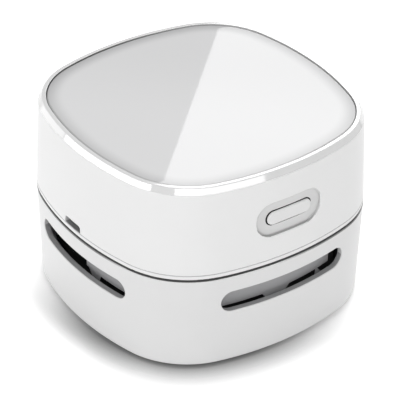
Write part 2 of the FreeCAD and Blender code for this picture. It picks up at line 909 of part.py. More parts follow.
def make_motor_seat(body):
    """Thick round seat with a ring round the motor, a nose hole and two sunk screw holes."""
    ring_radius = size.motor_radius + size.fit_gap
    post(body, "seat", 0, 0, ring_radius + size.seat_wall, deck_bottom, motor_face)
    sketch = new_sketch(body, "seat_ring", level=motor_face)
    draw_circle(sketch, 0, 0, ring_radius + size.seat_wall)
    draw_circle(sketch, 0, 0, ring_radius)
    pad(sketch, size.seat_ring_height)
    hole(body, "nose_hole", 0, 0, size.nose_radius + size.fit_gap, deck_bottom, motor_face)
    outline = widened(pan_outline(deck_bottom, size.seat_thickness))
    for name, x in (("left", -size.motor_screw_place), ("right", size.motor_screw_place)):
        turned(body, f"motor_screw_{name}", outline, x, as_size(0), "Groove")


def make_pillars(body):
    """Hollow pillars for the case screws, and bosses that the cover screws bite into."""
    around(post(body, "pillar", pillar_place, pillar_place, size.pillar_radius, deck_top, pillar_top))
    head_room = size.screw_head_radius + size.slide_gap
    around(hole(body, "pillar_well", pillar_place, pillar_place, head_room, deck_bottom,
                case_screw_bottom + size.screw_head_height))
    clearance = size.screw_radius + size.fit_gap
    around(hole(body, "pillar_hole", pillar_place, pillar_place, clearance,
                case_screw_bottom + size.screw_head_height, pillar_top))
    for name, x, y in cover_screw_places:
        around(post(body, f"deck_boss_{name}", x, y, size.deck_boss_radius, deck_top,
                    deck_top + size.deck_boss_height), 2)
        around(hole(body, f"deck_pilot_{name}", x, y, size.screw_radius, deck_bottom,
                    cover_bottom + size.cover_screw_length), 2)


def make_cradle(body):
    """Two ribs across the deck with a round seat for the battery cell."""
    for name, x in (("left", -size.cradle_place), ("right", size.cradle_place)):
        sketch = new_sketch(body, f"cradle_{name}", level=deck_top)
        draw_rectangle(sketch, x - size.cradle_width / 2, x + size.cradle_width / 2,
                       cell_place - size.cradle_reach, cell_place + size.cradle_reach)
        pad(sketch, size.cradle_height)
    reach = size.cradle_place + size.cradle_width / 2
    sketch = new_sketch(body, "cradle_seat", "side", level=-reach)
    draw_circle(sketch, cell_place, cell_level, size.cell_radius + size.cell_pad)
    cut(sketch, reach * 2)


def make_board_posts(body):
    for number, (x, y) in enumerate(board_screw_places, start=1):
        post(body, f"board_post_{number}", x, y, size.board_post_radius, deck_top, board_bottom)
        hole(body, f"board_pilot_{number}", x, y, size.screw_radius,
             board_bottom + size.board_thickness - size.screw_length, board_bottom)


# ---------------------------------------------------------------- upper housing, rim and plate

upper_slope = size.upper_draft / size.upper_height
crown_draft = upper_slope * (crown_bottom - band_top)
button_face = size.half_width - upper_slope * (button_level - band_top)
inner_face = button_face - size.upper_wall
switch_board_front = size.half_width - size.switch_board_inset


def make_upper_housing():
    """Drafted cap, closed on top, with the dished button recess and the socket opening."""
    body = new_body("upper_housing")
    drafted(body, "outside", 0, band_top, size.upper_draft, upper_top)
    drafted(body, "inside", size.upper_wall, band_top, size.upper_wall + crown_draft, crown_bottom,
            "SubtractiveLoft")
    around(post(body, "boss", pillar_place, pillar_place, size.upper_boss_radius, pillar_top, crown_bottom))
    around(hole(body, "pilot", pillar_place, pillar_place, size.screw_radius, pillar_top,
                case_screw_bottom + size.screw_head_height + size.case_screw_length))
    make_switch_bosses(body)
    cut_button_recess(body)
    cut_socket_opening(body)
    return body


def make_switch_bosses(body):
    """Two bosses behind the front wall that carry the switch board."""
    for name, x in (("left", -size.switch_boss_place), ("right", size.switch_boss_place)):
        sketch = new_sketch(body, f"switch_boss_{name}", "front", level=switch_board_front)
        draw_circle(sketch, x, button_level, size.switch_boss_radius)
        pad(sketch, inner_face - switch_board_front)
        sketch = new_sketch(body, f"switch_pilot_{name}", "front", level=switch_board_front)
        draw_circle(sketch, x, button_level, size.screw_radius)
        cut(sketch, size.screw_length - size.board_thickness)


def on_recess_rim(edge):
    """Whether an edge of the upper housing is where the button's recess meets the outer wall."""
    box = edge.BoundBox
    half = size.recess_height.value / 2 + TOUCH
    beside = size.recess_length.value / 2 + TOUCH
    rim_inset = size.half_width.value - button_face.value + size.recess_depth.value / 2
    return (box.YMax < 0 and max(box.XMax, -box.XMin) < beside and inset_of(edge) < rim_inset
            and box.ZMin > button_level.value - half and box.ZMax < button_level.value + half)


def cut_button_recess(body):
    """A recess with round ends whose floor follows the bowed wall, and the opening for the button."""
    tool = new_body("recess_tool")
    sketch = new_sketch(tool, "outline", "front", level=inner_face)
    draw_slot(sketch, 0, button_level, size.recess_length, size.recess_height)
    pad(sketch, size.upper_wall * 2)
    sketch = new_sketch(tool, "floor", level=band_top)
    draw_circle(sketch, 0, -side_centre, button_face - side_centre - size.recess_depth)
    cut(sketch, size.upper_height)
    recess = body.newObject("PartDesign::Boolean", "button_recess")
    recess.setObjects([tool])
    recess.Type = "Cut"
    round_edges(body, "recess_edge", size.recess_edge_radius, on_recess_rim)
    sketch = new_sketch(body, "button_opening", "front", level=inner_face - size.upper_wall)
    play = size.slide_gap * 2
    draw_slot(sketch, 0, button_level, size.button_length + play, size.button_height + play)
    cut(sketch, size.upper_wall * 3)


def cut_socket_opening(body):
    """A low opening with round top corners in the lower edge of the left wall."""
    half = size.socket_opening_width / 2
    left, right = size.socket_place - half, size.socket_place + half
    top = band_top + size.socket_opening_height
    sketch = new_sketch(body, "socket_opening", "side", level=-size.half_width)
    draw_rectangle(sketch, left, right, band_top, top)
    cut(sketch, size.upper_wall * 2)
    round_edges(body, "socket_corners", size.socket_corner_radius,
                lambda edge: edge.BoundBox.XMax < 0 and lies_at(edge, top)
                and (lies_at(edge, left, "Y") or lies_at(edge, right, "Y")))


def make_rim_ring():
    """Bevelled trim ring that frames the top plate."""
    body = new_body("rim_ring")
    outer_top = size.upper_draft + size.rim_bevel
    drafted(body, "bevel", size.upper_draft, upper_top, outer_top, rim_top)
    hollow(body, "inside", outer_top + size.rim_lip, upper_top, rim_top)
    round_edges(body, "top_edges", size.rim_edge_radius, lambda edge: lies_at(edge, rim_top))
    return body


def make_top_plate():
    """Flat glossy plate set just below the rim."""
    body = new_body("top_plate")
    inset = size.upper_draft + size.rim_bevel + size.rim_lip + size.running_gap
    block(body, "plate", inset, upper_top, plate_top)
    round_edges(body, "top_edge", size.plate_edge_radius, lambda edge: lies_at(edge, plate_top))
    return body


# ---------------------------------------------------------------- power button and switch

flange_front = inner_face - size.flange_gap
flange_back = flange_front - size.flange_thickness
switch_front = switch_board_front + size.switch_depth


def make_power_button():
    """Pill-shaped cap with a flange behind the wall that keeps it in."""
    body = new_body("power_button")
    sketch = new_sketch(body, "cap", "front", level=flange_front)
    draw_slot(sketch, 0, button_level, size.button_length, size.button_height)
    cap_front = button_face - size.button_sink
    pad(sketch, cap_front - flange_front)
    sketch = new_sketch(body, "flange", "front", level=flange_back)
    draw_slot(sketch, 0, button_level, size.flange_length, size.flange_height)
    pad(sketch, size.flange_thickness)
    round_edges(body, "front_edge", size.button_edge_radius,
                lambda edge: lies_at(edge, -cap_front, "Y"))
    return body


def front_block(body, name, width, height, back, depth):
    """A rectangular block centred on the button's axis, from a depth behind the front outwards."""
    sketch = new_sketch(body, name, "front", level=back)
    draw_rectangle(sketch, -width / 2, width / 2, button_level - height / 2, button_level + height / 2)
    return pad(sketch, depth)


def make_switch_plunger():
    body = new_body("switch_plunger")
    front_block(body, "stem", size.plunger_size, size.plunger_size, flange_back - size.plunger_length,
                size.plunger_length)
    return body


def make_switch_body():
    """Push switch with a square well for its plunger."""
    body = new_body("switch_body")
    front_block(body, "case", size.switch_size, size.switch_size, switch_board_front, size.switch_depth)
    play = size.plunger_size / 2 + size.plunger_gap
    sketch = new_sketch(body, "well", "front", level=switch_front)
    draw_rectangle(sketch, -play, play, button_level - play, button_level + play)
    cut(sketch, size.switch_hole_depth, reverse=True)
    return body


def make_button_board():
    body = new_body("button_board")
    front_block(body, "board", size.switch_board_length, size.switch_board_height,
                switch_board_front - size.board_thickness, size.board_thickness)
    for name, x in (("left", -size.switch_boss_place), ("right", size.switch_boss_place)):
        sketch = new_sketch(body, f"hole_{name}", "front", level=switch_board_front)
        draw_circle(sketch, x, button_level, size.screw_radius)
        cut(sketch, size.board_thickness, reverse=True)
    return body


def make_button_board_screws():
    """Two screws from inside, through the board into the bosses of the front wall."""
    body = new_body("button_board_screws")
    seat = switch_board_front - size.board_thickness
    for x in (-size.switch_boss_place, size.switch_boss_place):
        name = "left" if x.value < 0 else "right"
        sketch = new_sketch(body, f"head_{name}", "front", level=seat - size.screw_head_height)
        draw_circle(sketch, x, button_level, size.screw_head_radius)
        pad(sketch, size.screw_head_height)
        sketch = new_sketch(body, f"shank_{name}", "front", level=seat)
        draw_circle(sketch, x, button_level, size.screw_radius)
        pad(sketch, size.screw_length)
    return body


# ---------------------------------------------------------------- circuit board

board_top = board_bottom + size.board_thickness


def upright_box(body, name, left, right, front, back, bottom, top):
    sketch = new_sketch(body, name, level=bottom)
    draw_rectangle(sketch, left, right, front, back)
    return pad(sketch, top - bottom)


def make_circuit_board():
    body = new_body("circuit_board")
    upright_box(body, "board", board_left, board_right, -size.board_front, size.board_back,
                board_bottom, board_top)
    for number, (x, y) in enumerate(board_screw_places, start=1):
        hole(body, f"hole_{number}", x, y, size.screw_radius, board_bottom, board_top)
    return body


def make_board_screws():
    """Two screws from above, down into the posts of the chassis."""
    body = new_body("board_screws")
    for number, (x, y) in enumerate(board_screw_places, start=1):
        head_top = board_top + size.screw_head_height
        post(body, f"head_{number}", x, y, size.screw_head_radius, board_top, head_top)
        post(body, f"shank_{number}", x, y, size.screw_radius, board_top - size.screw_length, board_top)
    return body


def make_charging_socket():
    """Thin metal shell with a contact tongue, under the edge of the board."""
    body = new_body("charging_socket")
    mouth = size.upper_wall - size.half_width + size.slide_gap
    half = size.socket_width / 2
    bottom = board_bottom - size.socket_height
    sketch = new_sketch(body, "shell", "side", level=mouth)
    draw_rectangle(sketch, size.socket_place - half, size.socket_place + half, bottom, board_bottom)
    pad(sketch, size.socket_depth)
    inner = half - size.socket_shell
    sketch = new_sketch(body, "mouth", "side", level=mouth)
    draw_rectangle(sketch, size.socket_place - inner, size.socket_place + inner,
                   bottom + size.socket_shell, board_bottom - size.socket_shell)
    cut(sketch, size.socket_depth - size.socket_shell * 2)
    middle = bottom + size.socket_height / 2
    reach = size.tongue_width / 2
    sketch = new_sketch(body, "tongue", "side", level=mouth + size.socket_shell * 2)
    draw_rectangle(sketch, size.socket_place - reach, size.socket_place + reach,
                   middle - size.tongue_thickness / 2, middle + size.tongue_thickness / 2)
    pad(sketch, size.socket_depth - size.socket_shell * 3)
    return body


def make_board_chips():
    """The charging chip and the motor driver chip on top of the board."""
    body = new_body("board_chips")
    left = board_left + size.chip_width
    for name, front in (("charger", -size.chip_length), ("driver", size.chip_length)):
        front = as_size(front) - size.chip_length / 2
        upright_box(body, name, left, left + size.chip_width, front, front + size.chip_length,
                    board_top, board_top + size.chip_height)
    return body


def make_board_capacitor():
    body = new_body("board_capacitor")
    middle = board_left + size.chip_width * 2 + size.capacitor_gap + size.capacitor_radius
    post(body, "can", middle, 0, size.capacitor_radius, board_top, board_top + size.capacitor_height)
    return body


lead_socket_right = board_right - size.board_screw_inset - size.screw_head_radius - size.slide_gap
lead_socket_left = lead_socket_right - size.lead_socket_length


def make_lead_sockets():
    """Two small sockets on the board, for the motor at the front and the battery at the back."""
    body = new_body("lead_sockets")
    top = board_top + size.lead_socket_height
    margin = size.slide_gap * 2
    front = margin - size.board_front
    back = size.board_back - margin
    for name, low in (("motor", front), ("battery", back - size.lead_socket_width)):
        upright_box(body, name, lead_socket_left, lead_socket_right, low, low + size.lead_socket_width,
                    board_top, top)
    return body


# ---------------------------------------------------------------- battery

def make_battery_cell():
    """Round lithium cell lying along the back."""
    body = new_body("battery_cell")
    sketch = new_sketch(body, "can", "side", level=-cell_length / 2)
    draw_circle(sketch, cell_place, cell_level, size.cell_radius)
    pad(sketch, cell_length)
    rim_length = math.tau * size.cell_radius.value
    round_edges(body, "ends", size.cell_edge, lambda edge: abs(edge.Length - rim_length) < TOUCH)
    return body


def make_battery_tabs():
    """A nickel strip welded to each end of the cell."""
    body = new_body("battery_tabs")
    half = size.tab_width / 2
    for name, level in (("left", -cell_length / 2 - size.tab_thickness), ("right", cell_length / 2)):
        sketch = new_sketch(body, name, "side", level=level)
        draw_rectangle(sketch, cell_place - half, cell_place + half, cell_level - half, cell_level + half)
        pad(sketch, size.tab_thickness)
    return body


def make_battery_pads():
    """Foam strips between the cell and the two cradle ribs."""
    body = new_body("battery_pads")
    for name, x in (("left", -size.cradle_place), ("right", size.cradle_place)):
        sketch = new_sketch(body, name, "side", level=x - size.cradle_width / 2)
        draw_circle(sketch, cell_place, cell_level, size.cell_radius + size.cell_pad)
        draw_circle(sketch, cell_place, cell_level, size.cell_radius)
        pad(sketch, size.cradle_width)
    top = deck_top + size.cradle_height
    reach = size.cradle_reach
    sketch = new_sketch(body, "open_top", level=top)
    half = cell_length / 2
    draw_rectangle(sketch, -half, half, cell_place - reach, cell_place + reach)
    cut(sketch, size.cell_radius * 2)
    return body


# ---------------------------------------------------------------- motor and rotor

can_top = motor_face + size.motor_height
can_floor = motor_face + size.motor_front
nose_bottom = motor_face - size.nose_height
cap_bottom = can_top - size.cap_depth
cap_top = can_top + size.cap_flange
bush_bore = size.shaft_radius + size.running_gap
magnet_bottom = can_floor + size.winding_bulge
magnet_outer = size.motor_radius - size.motor_wall - size.running_gap
core_radius = magnet_outer - size.magnet_thickness - size.air_gap
core_bottom = magnet_bottom + size.winding_bulge
core_top = core_bottom + size.core_height
commutator_top = cap_bottom - size.slide_gap
commutator_bottom = commutator_top - size.commutator_height
shaft_bottom = cover_top + size.hub_gap - size.slide_gap
shaft_top = cap_top + size.cap_boss_height


def make_motor_can():
    """Deep-drawn steel can with a nose that holds the front bush."""
    body = new_body("motor_can")
    inner = size.motor_radius - size.motor_wall
    outline = [(size.bush_radius, nose_bottom), (size.nose_radius, nose_bottom),
               (size.nose_radius, motor_face), (size.motor_radius, motor_face),
               (size.motor_radius, can_top), (inner, can_top), (inner, can_floor),
               (size.bush_radius, can_floor)]
    turned(body, "can", outline)
    for name, x in (("left", -size.motor_screw_place), ("right", size.motor_screw_place)):
        hole(body, f"screw_{name}", x, 0, size.screw_radius, motor_face, can_floor)
    return body


def make_motor_magnets():
    """Two curved magnets inside the can."""
    body = new_body("motor_magnets")
    outline = [(magnet_outer - size.magnet_thickness, magnet_bottom), (magnet_outer, magnet_bottom),
               (magnet_outer, magnet_bottom + size.magnet_height),
               (magnet_outer - size.magnet_thickness, magnet_bottom + size.magnet_height)]
    magnet = turned(body, "magnet", outline)
    magnet.setExpression("Angle", size.magnet_span.text)
    around(magnet, 2)
    return body


def make_motor_bushes():
    """Bronze bushes in the can's nose and in the end cap."""
    body = new_body("motor_bushes")
    for name, bottom in (("front", nose_bottom), ("rear", shaft_top - size.bush_height)):
        outline = [(bush_bore, bottom), (size.bush_radius, bottom),
                   (size.bush_radius, bottom + size.bush_height), (bush_bore, bottom + size.bush_height)]
        turned(body, name, outline)
    return body


def make_motor_end_cap():
    """Plastic cap that closes the can and carries bush, brushes and terminals."""
    body = new_body("motor_end_cap")
    inner = size.motor_radius - size.motor_wall - size.running_gap
    outline = [(size.bush_radius, cap_bottom), (inner, cap_bottom), (inner, can_top),
               (size.motor_radius, can_top), (size.motor_radius, cap_top), (size.cap_boss_radius, cap_top),
               (size.cap_boss_radius, shaft_top), (size.bush_radius, shaft_top)]
    turned(body, "cap", outline)
    return body


def make_motor_terminals():
    body = new_body("motor_terminals")
    half = size.terminal_width / 2
    for name, x in (("left", -size.terminal_place), ("right", size.terminal_place)):
        upright_box(body, name, x - size.terminal_thickness / 2, x + size.terminal_thickness / 2, -half, half,
                    cap_top, cap_top + size.terminal_height)
    return body


def make_motor_brushes():
    """Two spring leaves that hang from the end cap beside the commutator."""
    body = new_body("motor_brushes")
    near = size.commutator_radius + size.running_gap * 2
    half = size.terminal_width / 2
    for name, front in (("front", -near - size.brush_leaf), ("back", near)):
        upright_box(body, name, -half, half, front, as_size(front) + size.brush_leaf,
                    commutator_bottom + size.slide_gap, cap_bottom)
    return body


def make_motor_screws():
    body = new_body("motor_screws")
    outline = pan_outline(deck_bottom, size.seat_thickness)
    for name, x in (("left", -size.motor_screw_place), ("right", size.motor_screw_place)):
        turned(body, name, outline, x)
    return body


def make_motor_shaft():
    body = new_body("motor_shaft")
    post(body, "shaft", 0, 0, size.shaft_radius, shaft_bottom, shaft_top)
    return body


def make_armature_core():
    """Three-pole stack on the shaft."""
    body = new_body("armature_core")
    sketch = new_sketch(body, "stack", level=core_bottom)
    draw_circle(sketch, 0, 0, core_radius)
    draw_circle(sketch, 0, 0, size.shaft_radius)
    pad(sketch, size.core_height)
    sketch = new_sketch(body, "slot", level=core_bottom)
    half = size.slot_width / 2
    draw_rectangle(sketch, size.slot_root_radius, core_radius + size.air_gap, -half, half)
    around(cut(sketch, size.core_height), 3)
    return body


def make_armature_windings():
    """Copper end turns above and below the stack."""
    body = new_body("armature_windings")
    outer = core_radius - size.air_gap * 2
    bulge = size.winding_bulge - size.slide_gap
    for name, bottom in (("lower", core_bottom - bulge), ("upper", core_top)):
        outline = [(size.shaft_radius, bottom), (outer, bottom), (outer, bottom + bulge),
                   (size.shaft_radius, bottom + bulge)]
        turned(body, name, outline)
    return body


def make_commutator():
    body = new_body("commutator")
    outline = [(size.shaft_radius, commutator_bottom), (size.commutator_radius, commutator_bottom),
               (size.commutator_radius, commutator_top), (size.shaft_radius, commutator_top)]
    turned(body, "sleeve", outline)
    return body


def make_impeller():
    """Open fan wheel: backplate on top, curved blades under it, hub pressed on the shaft."""
    body = new_body("impeller")
    plate_top_level = deck_bottom - size.impeller_gap
    plate_bottom_level = plate_top_level - size.backplate_thickness
    hub_bottom = cover_top + size.hub_gap
    outline = [(size.shaft_radius, hub_bottom), (size.hub_radius, hub_bottom),
               (size.hub_radius, plate_bottom_level), (size.impeller_radius, plate_bottom_level),
               (size.impeller_radius, plate_top_level), (size.shaft_radius, plate_top_level)]
    turned(body, "wheel", outline)
    sketch = new_sketch(body, "blade", level=cover_top + size.impeller_gap)
    draw_blade(sketch)
    around(pad(sketch, plate_bottom_level - cover_top - size.impeller_gap), BLADES)
    return body


def draw_blade(sketch):
    """A curved blade between two arcs of one centre, ended on the root and tip circles."""
    place = size.blade_curve_place.value
    rings = []
    for radius in (size.blade_root_radius, size.blade_tip_radius):
        ring = sketch.addGeometry(Part.Circle(Vector(0, 0, 0), Vector(0, 0, 1), radius.value), True)
        sketch.addConstraint(Sketcher.Constraint("Coincident", ring, 3, -1, 1))
        bind(sketch, "Radius", ring, radius)
        rings.append(ring)
    arcs = []
    ends = []
    for radius in (size.blade_curve_radius, size.blade_curve_radius + size.blade_thickness):
        turns = []
        for ring_radius in (size.blade_root_radius.value, size.blade_tip_radius.value):
            angle = math.acos((place ** 2 + ring_radius ** 2 - radius.value ** 2) / (2 * place * ring_radius))
            turns.append(math.atan2(ring_radius * math.sin(angle), ring_radius * math.cos(angle) - place))
        circle = Part.Circle(Vector(place, 0, 0), Vector(0, 0, 1), radius.value)
        arc = sketch.addGeometry(Part.ArcOfCircle(circle, turns[1], turns[0]), False)
        bind(sketch, "Radius", arc, radius)
        sketch.addConstraint(Sketcher.Constraint("PointOnObject", arc, 2, rings[0]))
        sketch.addConstraint(Sketcher.Constraint("PointOnObject", arc, 1, rings[1]))
        arcs.append(arc)
        ends.append([circle.value(turns[1]), circle.value(turns[0])])
    pin_point(sketch, arcs[0], 3, size.blade_curve_place, 0)
    sketch.addConstraint(Sketcher.Constraint("Coincident", arcs[1], 3, arcs[0], 3))
    for point in (1, 2):
        line = sketch.addGeometry(Part.LineSegment(ends[0][point - 1], ends[1][point - 1]), False)
        sketch.addConstraint(Sketcher.Constraint("Coincident", line, 1, arcs[0], point))
        sketch.addConstraint(Sketcher.Constraint("Coincident", line, 2, arcs[1], point))


def make_case_screws():
    """Four long screws, from inside the pillars up into the bosses of the upper housing."""
    body = new_body("case_screws")
    outline = pan_outline(case_screw_bottom, size.case_screw_length)
    around(turned(body, "screw", outline, pillar_place, pillar_place))
    return body


# ---------------------------------------------------------------- leads

def rounded_path(points):
    """Straight runs joined by tangent arcs, each as large as its two runs allow."""
    edges = []
    start = points[0]
    for before, corner, after in zip(points, points[1:], points[2:]):
        arriving = (corner - before).normalize()
        leaving = (after - corner).normalize()
        trim = BEND_SHARE * min((corner - before).Length, (after - corner).Length)
        bend = trim / math.tan(arriving.getAngle(leaving) / 2)
        inwards = (leaving - arriving).normalize()
        middle = corner + inwards * (math.hypot(bend, trim) - bend)
        first, last = corner - arriving * trim, corner + leaving * trim
        edges.append(Part.LineSegment(start, first).toShape())
        edges.append(Part.Arc(first, middle, last).toShape())
        start = last
    edges.append(Part.LineSegment(start, points[-1]).toShape())
    return Part.Wire(edges)


def make_leads(label, routes):
    """A pair of insulated wires, each a round tube along its own route."""
    tubes = []
    for route in routes:
        points = [Vector(*(as_size(part).value for part in point)) for point in route]
        path = rounded_path(points)
        section = Part.Wire(Part.makeCircle(size.lead_radius.value, points[0], points[1] - points[0]))
        tube = path.makePipeShell([section], True, True)
        expected = math.pi * size.lead_radius.value ** 2 * path.Length
        if abs(tube.Volume - expected) > expected * VOLUME_SHARE:
            raise ValueError(f"{label} has a collapsed tube")
        tubes.append(tube)
    feature = document.addObject("Part::Feature", label)
    feature.Label = label
    feature.Shape = Part.makeCompound(tubes)
    return feature


lead_sides = (lead_socket_left + size.lead_radius * 2, lead_socket_right - size.lead_radius * 2)
lead_socket_top = board_top + size.lead_socket_height


def make_battery_leads():
    """From the tabs of the cell down into the back socket of the board, clear of the cell and the socket."""
    tab_x = cell_length / 2 + size.tab_thickness + size.lead_radius
    tab_y = cell_place - size.tab_width / 2 + size.lead_radius
    over = cell_level + size.cell_radius + size.lead_radius * 3
    socket_y = size.board_back - size.slide_gap * 2 - size.lead_socket_width / 2
    near, far = lead_sides
    drop = larger(over + size.lead_radius * 2, lead_socket_top + size.lead_radius * 3)
    short = [(-tab_x, tab_y, cell_level), (-tab_x, tab_y, over), (near, socket_y, drop),
             (near, socket_y, lead_socket_top)]
    long = [(tab_x, tab_y, cell_level), (tab_x, tab_y, drop), (0, tab_y, drop), (far, socket_y, drop),
            (far, socket_y, lead_socket_top)]
    return make_leads("battery_leads", (short, long))


def make_motor_leads():
    """From the motor's terminals to the front socket of the board."""
    start_x = size.terminal_place + size.terminal_thickness / 2 + size.lead_radius
    level = cap_top + size.terminal_height - size.lead_radius
    socket_y = size.slide_gap * 2 - size.board_front + size.lead_socket_width / 2
    near, far = lead_sides
    drop = level - size.lead_socket_height / 2
    clear = size.motor_radius + size.lead_radius * 2
    left = [(-start_x, 0, level), (-clear, socket_y / 2, level), (far, socket_y, drop),
            (far, socket_y, lead_socket_top)]
    right = [(start_x, 0, level), (start_x, socket_y, level), (0, -clear, level), (-clear, -clear, level),
             (near, socket_y, drop), (near, socket_y, lead_socket_top)]
    return make_leads("motor_leads", (left, right))


def make_switch_leads():
    """From the back of the button board to the front edge of the main board."""
    board_back_face = size.board_thickness - switch_board_front
    level = button_level - size.switch_board_height / 4
    end_y = size.lead_radius * 2 - size.board_front
    routes = []
    first_x = size.screw_head_radius + size.lead_pitch / 2 - size.switch_boss_place
    for step in (0, 1):
        start_x = first_x + size.lead_pitch * step
        end_x = lead_socket_left - size.lead_pitch * (2 - step)
        routes.append([
            (start_x, board_back_face, level), (start_x, board_back_face + size.board_inset, level),
            (end_x, end_y - size.board_inset, level), (end_x, end_y, board_top + size.lead_socket_height),
            (end_x, end_y, board_top),
        ])
    return make_leads("switch_leads", routes)


makers = (
    make_lower_housing, make_dust_tray, make_tray_wall, make_base_plate, make_brush_strips, make_brush_tufts,
    make_glide_pads, make_base_screws, make_seal_ring, make_filter_frame, make_filter_mesh,
    make_fan_cover, make_fan_shroud, make_cover_screws, make_chassis, make_upper_housing, make_rim_ring,
    make_top_plate, make_power_button, make_switch_plunger, make_switch_body, make_button_board,
    make_button_board_screws, make_circuit_board, make_board_screws, make_charging_socket,
    make_board_chips, make_board_capacitor, make_lead_sockets, make_battery_cell,
    make_battery_tabs, make_battery_pads, make_battery_leads, make_motor_leads, make_switch_leads,
    make_motor_can, make_motor_magnets, make_motor_bushes, make_motor_end_cap,
    make_motor_terminals, make_motor_brushes, make_motor_screws, make_motor_shaft,
    make_armature_core, make_armature_windings, make_commutator, make_impeller, make_case_screws,
)
made = [make() for make in makers]

# ---------------------------------------------------------------- checking and writing

document.recompute()
for item in document.Objects:
    if {"Invalid", "Error"} & set(item.State):
        raise ValueError(f"{item.Name} failed: {item.State}")
os.makedirs("parts", exist_ok=True)
for part in made:
    if part.Shape.isNull() or not part.Shape.isValid():
        raise ValueError(f"{part.Label} has no valid shape")
    part.Shape.exportStep(f"parts/{part.Label}.step")
    print(part.Label, len(part.Shape.Solids), round(part.Shape.Volume, 1))
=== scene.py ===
import math

import bpy
from mathutils import Matrix, Vector


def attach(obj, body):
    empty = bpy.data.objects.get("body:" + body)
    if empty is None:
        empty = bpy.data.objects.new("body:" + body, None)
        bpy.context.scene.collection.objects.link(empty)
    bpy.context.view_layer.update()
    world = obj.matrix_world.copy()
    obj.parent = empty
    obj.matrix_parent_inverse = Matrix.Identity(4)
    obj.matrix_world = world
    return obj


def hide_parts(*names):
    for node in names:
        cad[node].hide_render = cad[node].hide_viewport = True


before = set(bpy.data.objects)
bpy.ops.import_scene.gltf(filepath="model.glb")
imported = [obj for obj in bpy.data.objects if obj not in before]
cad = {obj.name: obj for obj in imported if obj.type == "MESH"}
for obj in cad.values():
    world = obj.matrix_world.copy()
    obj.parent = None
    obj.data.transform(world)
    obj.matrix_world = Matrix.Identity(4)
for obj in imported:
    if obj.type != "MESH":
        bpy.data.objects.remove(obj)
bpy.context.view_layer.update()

# ------ camera
# A long lens stands off to the left and in front, and looks down on the round corner between the
# front, with its button, and the left side, with its charging socket.

lens = bpy.data.cameras.new("camera")
lens.lens = 217.28
lens.sensor_width = 36.0
lens.clip_start = 0.05
lens.clip_end = 60.0
camera = bpy.data.objects.new("camera", lens)
camera.location = (-0.33441, -0.45924, 0.40568)
camera.rotation_euler = [math.radians(turn) for turn in (56.2175, -0.6566, -35.6407)]
scene = bpy.context.scene
scene.collection.objects.link(camera)
scene.camera = camera


# ------ table top
# The cleaner stands on a wide, white, matt table top. The finish tools start here: Wire makes
# sums of node values, and Finish adds any node and feeds the shader.

class Wire:
    """One value in a finish. Sums on it add the Math nodes."""

    def __init__(self, finish, socket):
        self.finish = finish
        self.socket = socket

    def maths(self, operation, *others):
        return self.finish.node("Math", {"operation": operation}, dict(enumerate((self, *others))))

    def __add__(self, other):
        return self.maths("ADD", other)

    def __sub__(self, other):
        return self.maths("SUBTRACT", other)

    def __rsub__(self, other):
        return self.finish.node("Math", {"operation": "SUBTRACT"}, {0: other, 1: self})

    def __mul__(self, other):
        return self.maths("MULTIPLY", other)

    def __abs__(self):
        return self.maths("ABSOLUTE")

    __radd__ = __add__
    __rmul__ = __mul__


def rgb(shade):
    """A colour. A grey may be given as one number."""
    return shade if isinstance(shade, tuple) else (shade,) * 3


class Finish:
    """The surface of a piece: its nodes, and the values that reach its shader."""

    def __init__(self, name, holder=None, shader="Principled BSDF", **gloss):
        self.material = holder or bpy.data.materials.new(name)
        self.material.use_nodes = True
        self.tree = self.material.node_tree
        self.shader = self.tree.nodes[shader]
        self.set(**gloss)

    def node(self, kind, settings, values, output=0):
        """A node with its settings, then the values or wires of its sockets; gives one output."""
        made = self.tree.nodes.new("ShaderNode" + kind)
        for name, value in settings.items():
            setattr(made, name, value)
        for name, value in values.items():
            self.feed(made.inputs[name], value)
        return Wire(self, made.outputs[output])

    def feed(self, socket, value):
        if isinstance(value, Wire):
            self.tree.links.new(value.socket, socket)
        elif socket.type == "RGBA":
            socket.default_value = (*rgb(value), 1.0)
        else:
            socket.default_value = value

    def set(self, **values):
        """Feeds the shader's sockets, such as base_color or coat_weight."""
        for name, value in values.items():
            self.feed(self.shader.inputs[name.replace("_", " ").title().replace("Ior", "IOR")], value)

    def place(self):
        return self.node("TexCoord", {}, {}, output="Object")

    def along(self, axis):
        """How far a point lies along an axis, in metres."""
        return self.node("SeparateXYZ", {}, {"Vector": self.place()}, output=axis)

    def noise(self, size, detail=2.0, scale=None):
        """Cloudy noise whose blobs are about that many metres across; a scale under 1 draws them out."""
        place = self.node("Mapping", {}, {"Vector": self.place(), "Scale": scale}) if scale else self.place()
        return self.node("TexNoise", {}, {"Vector": place, "Scale": 1.0 / size, "Detail": detail})

    def cells(self, per_metre):
        """How far a point lies from the middle of its cell."""
        return self.node("TexVoronoi", {}, {"Vector": self.place(), "Scale": per_metre})

    def between(self, value, low, high):
        """0 where the value is at low, 1 at high, and smooth between them."""
        return self.node("MapRange", {"interpolation_type": "SMOOTHSTEP"},
                         {"Value": value, "From Min": low, "From Max": high})

    def blend(self, share, one, two):
        return self.node("Mix", {"data_type": "RGBA"}, {0: share, 6: one, 7: two}, output=2)

    def colour(self, share, one, two, **gloss):
        """Colours the surface with a blend of two colours."""
        self.set(base_color=self.blend(share, one, two), **gloss)

    def relief(self, height, depth):
        """Raises the surface by a height from 0 to 1 times a depth in metres."""
        self.set(normal=self.node("Bump", {}, {"Height": height, "Strength": 1.0, "Distance": depth}))

    def seen(self):
        """1 for what the camera sees, straight or mirrored or through a clear piece."""
        camera, glossy, clear = (self.node("LightPath", {}, {}, output=f"Is {kind} Ray")
                                 for kind in ("Camera", "Glossy", "Transmission"))
        return camera.maths("MAXIMUM", glossy).maths("MAXIMUM", clear)

    def vectors(self, operation, *values, output=0):
        return self.node("VectorMath", {"operation": operation}, dict(enumerate(values)), output)


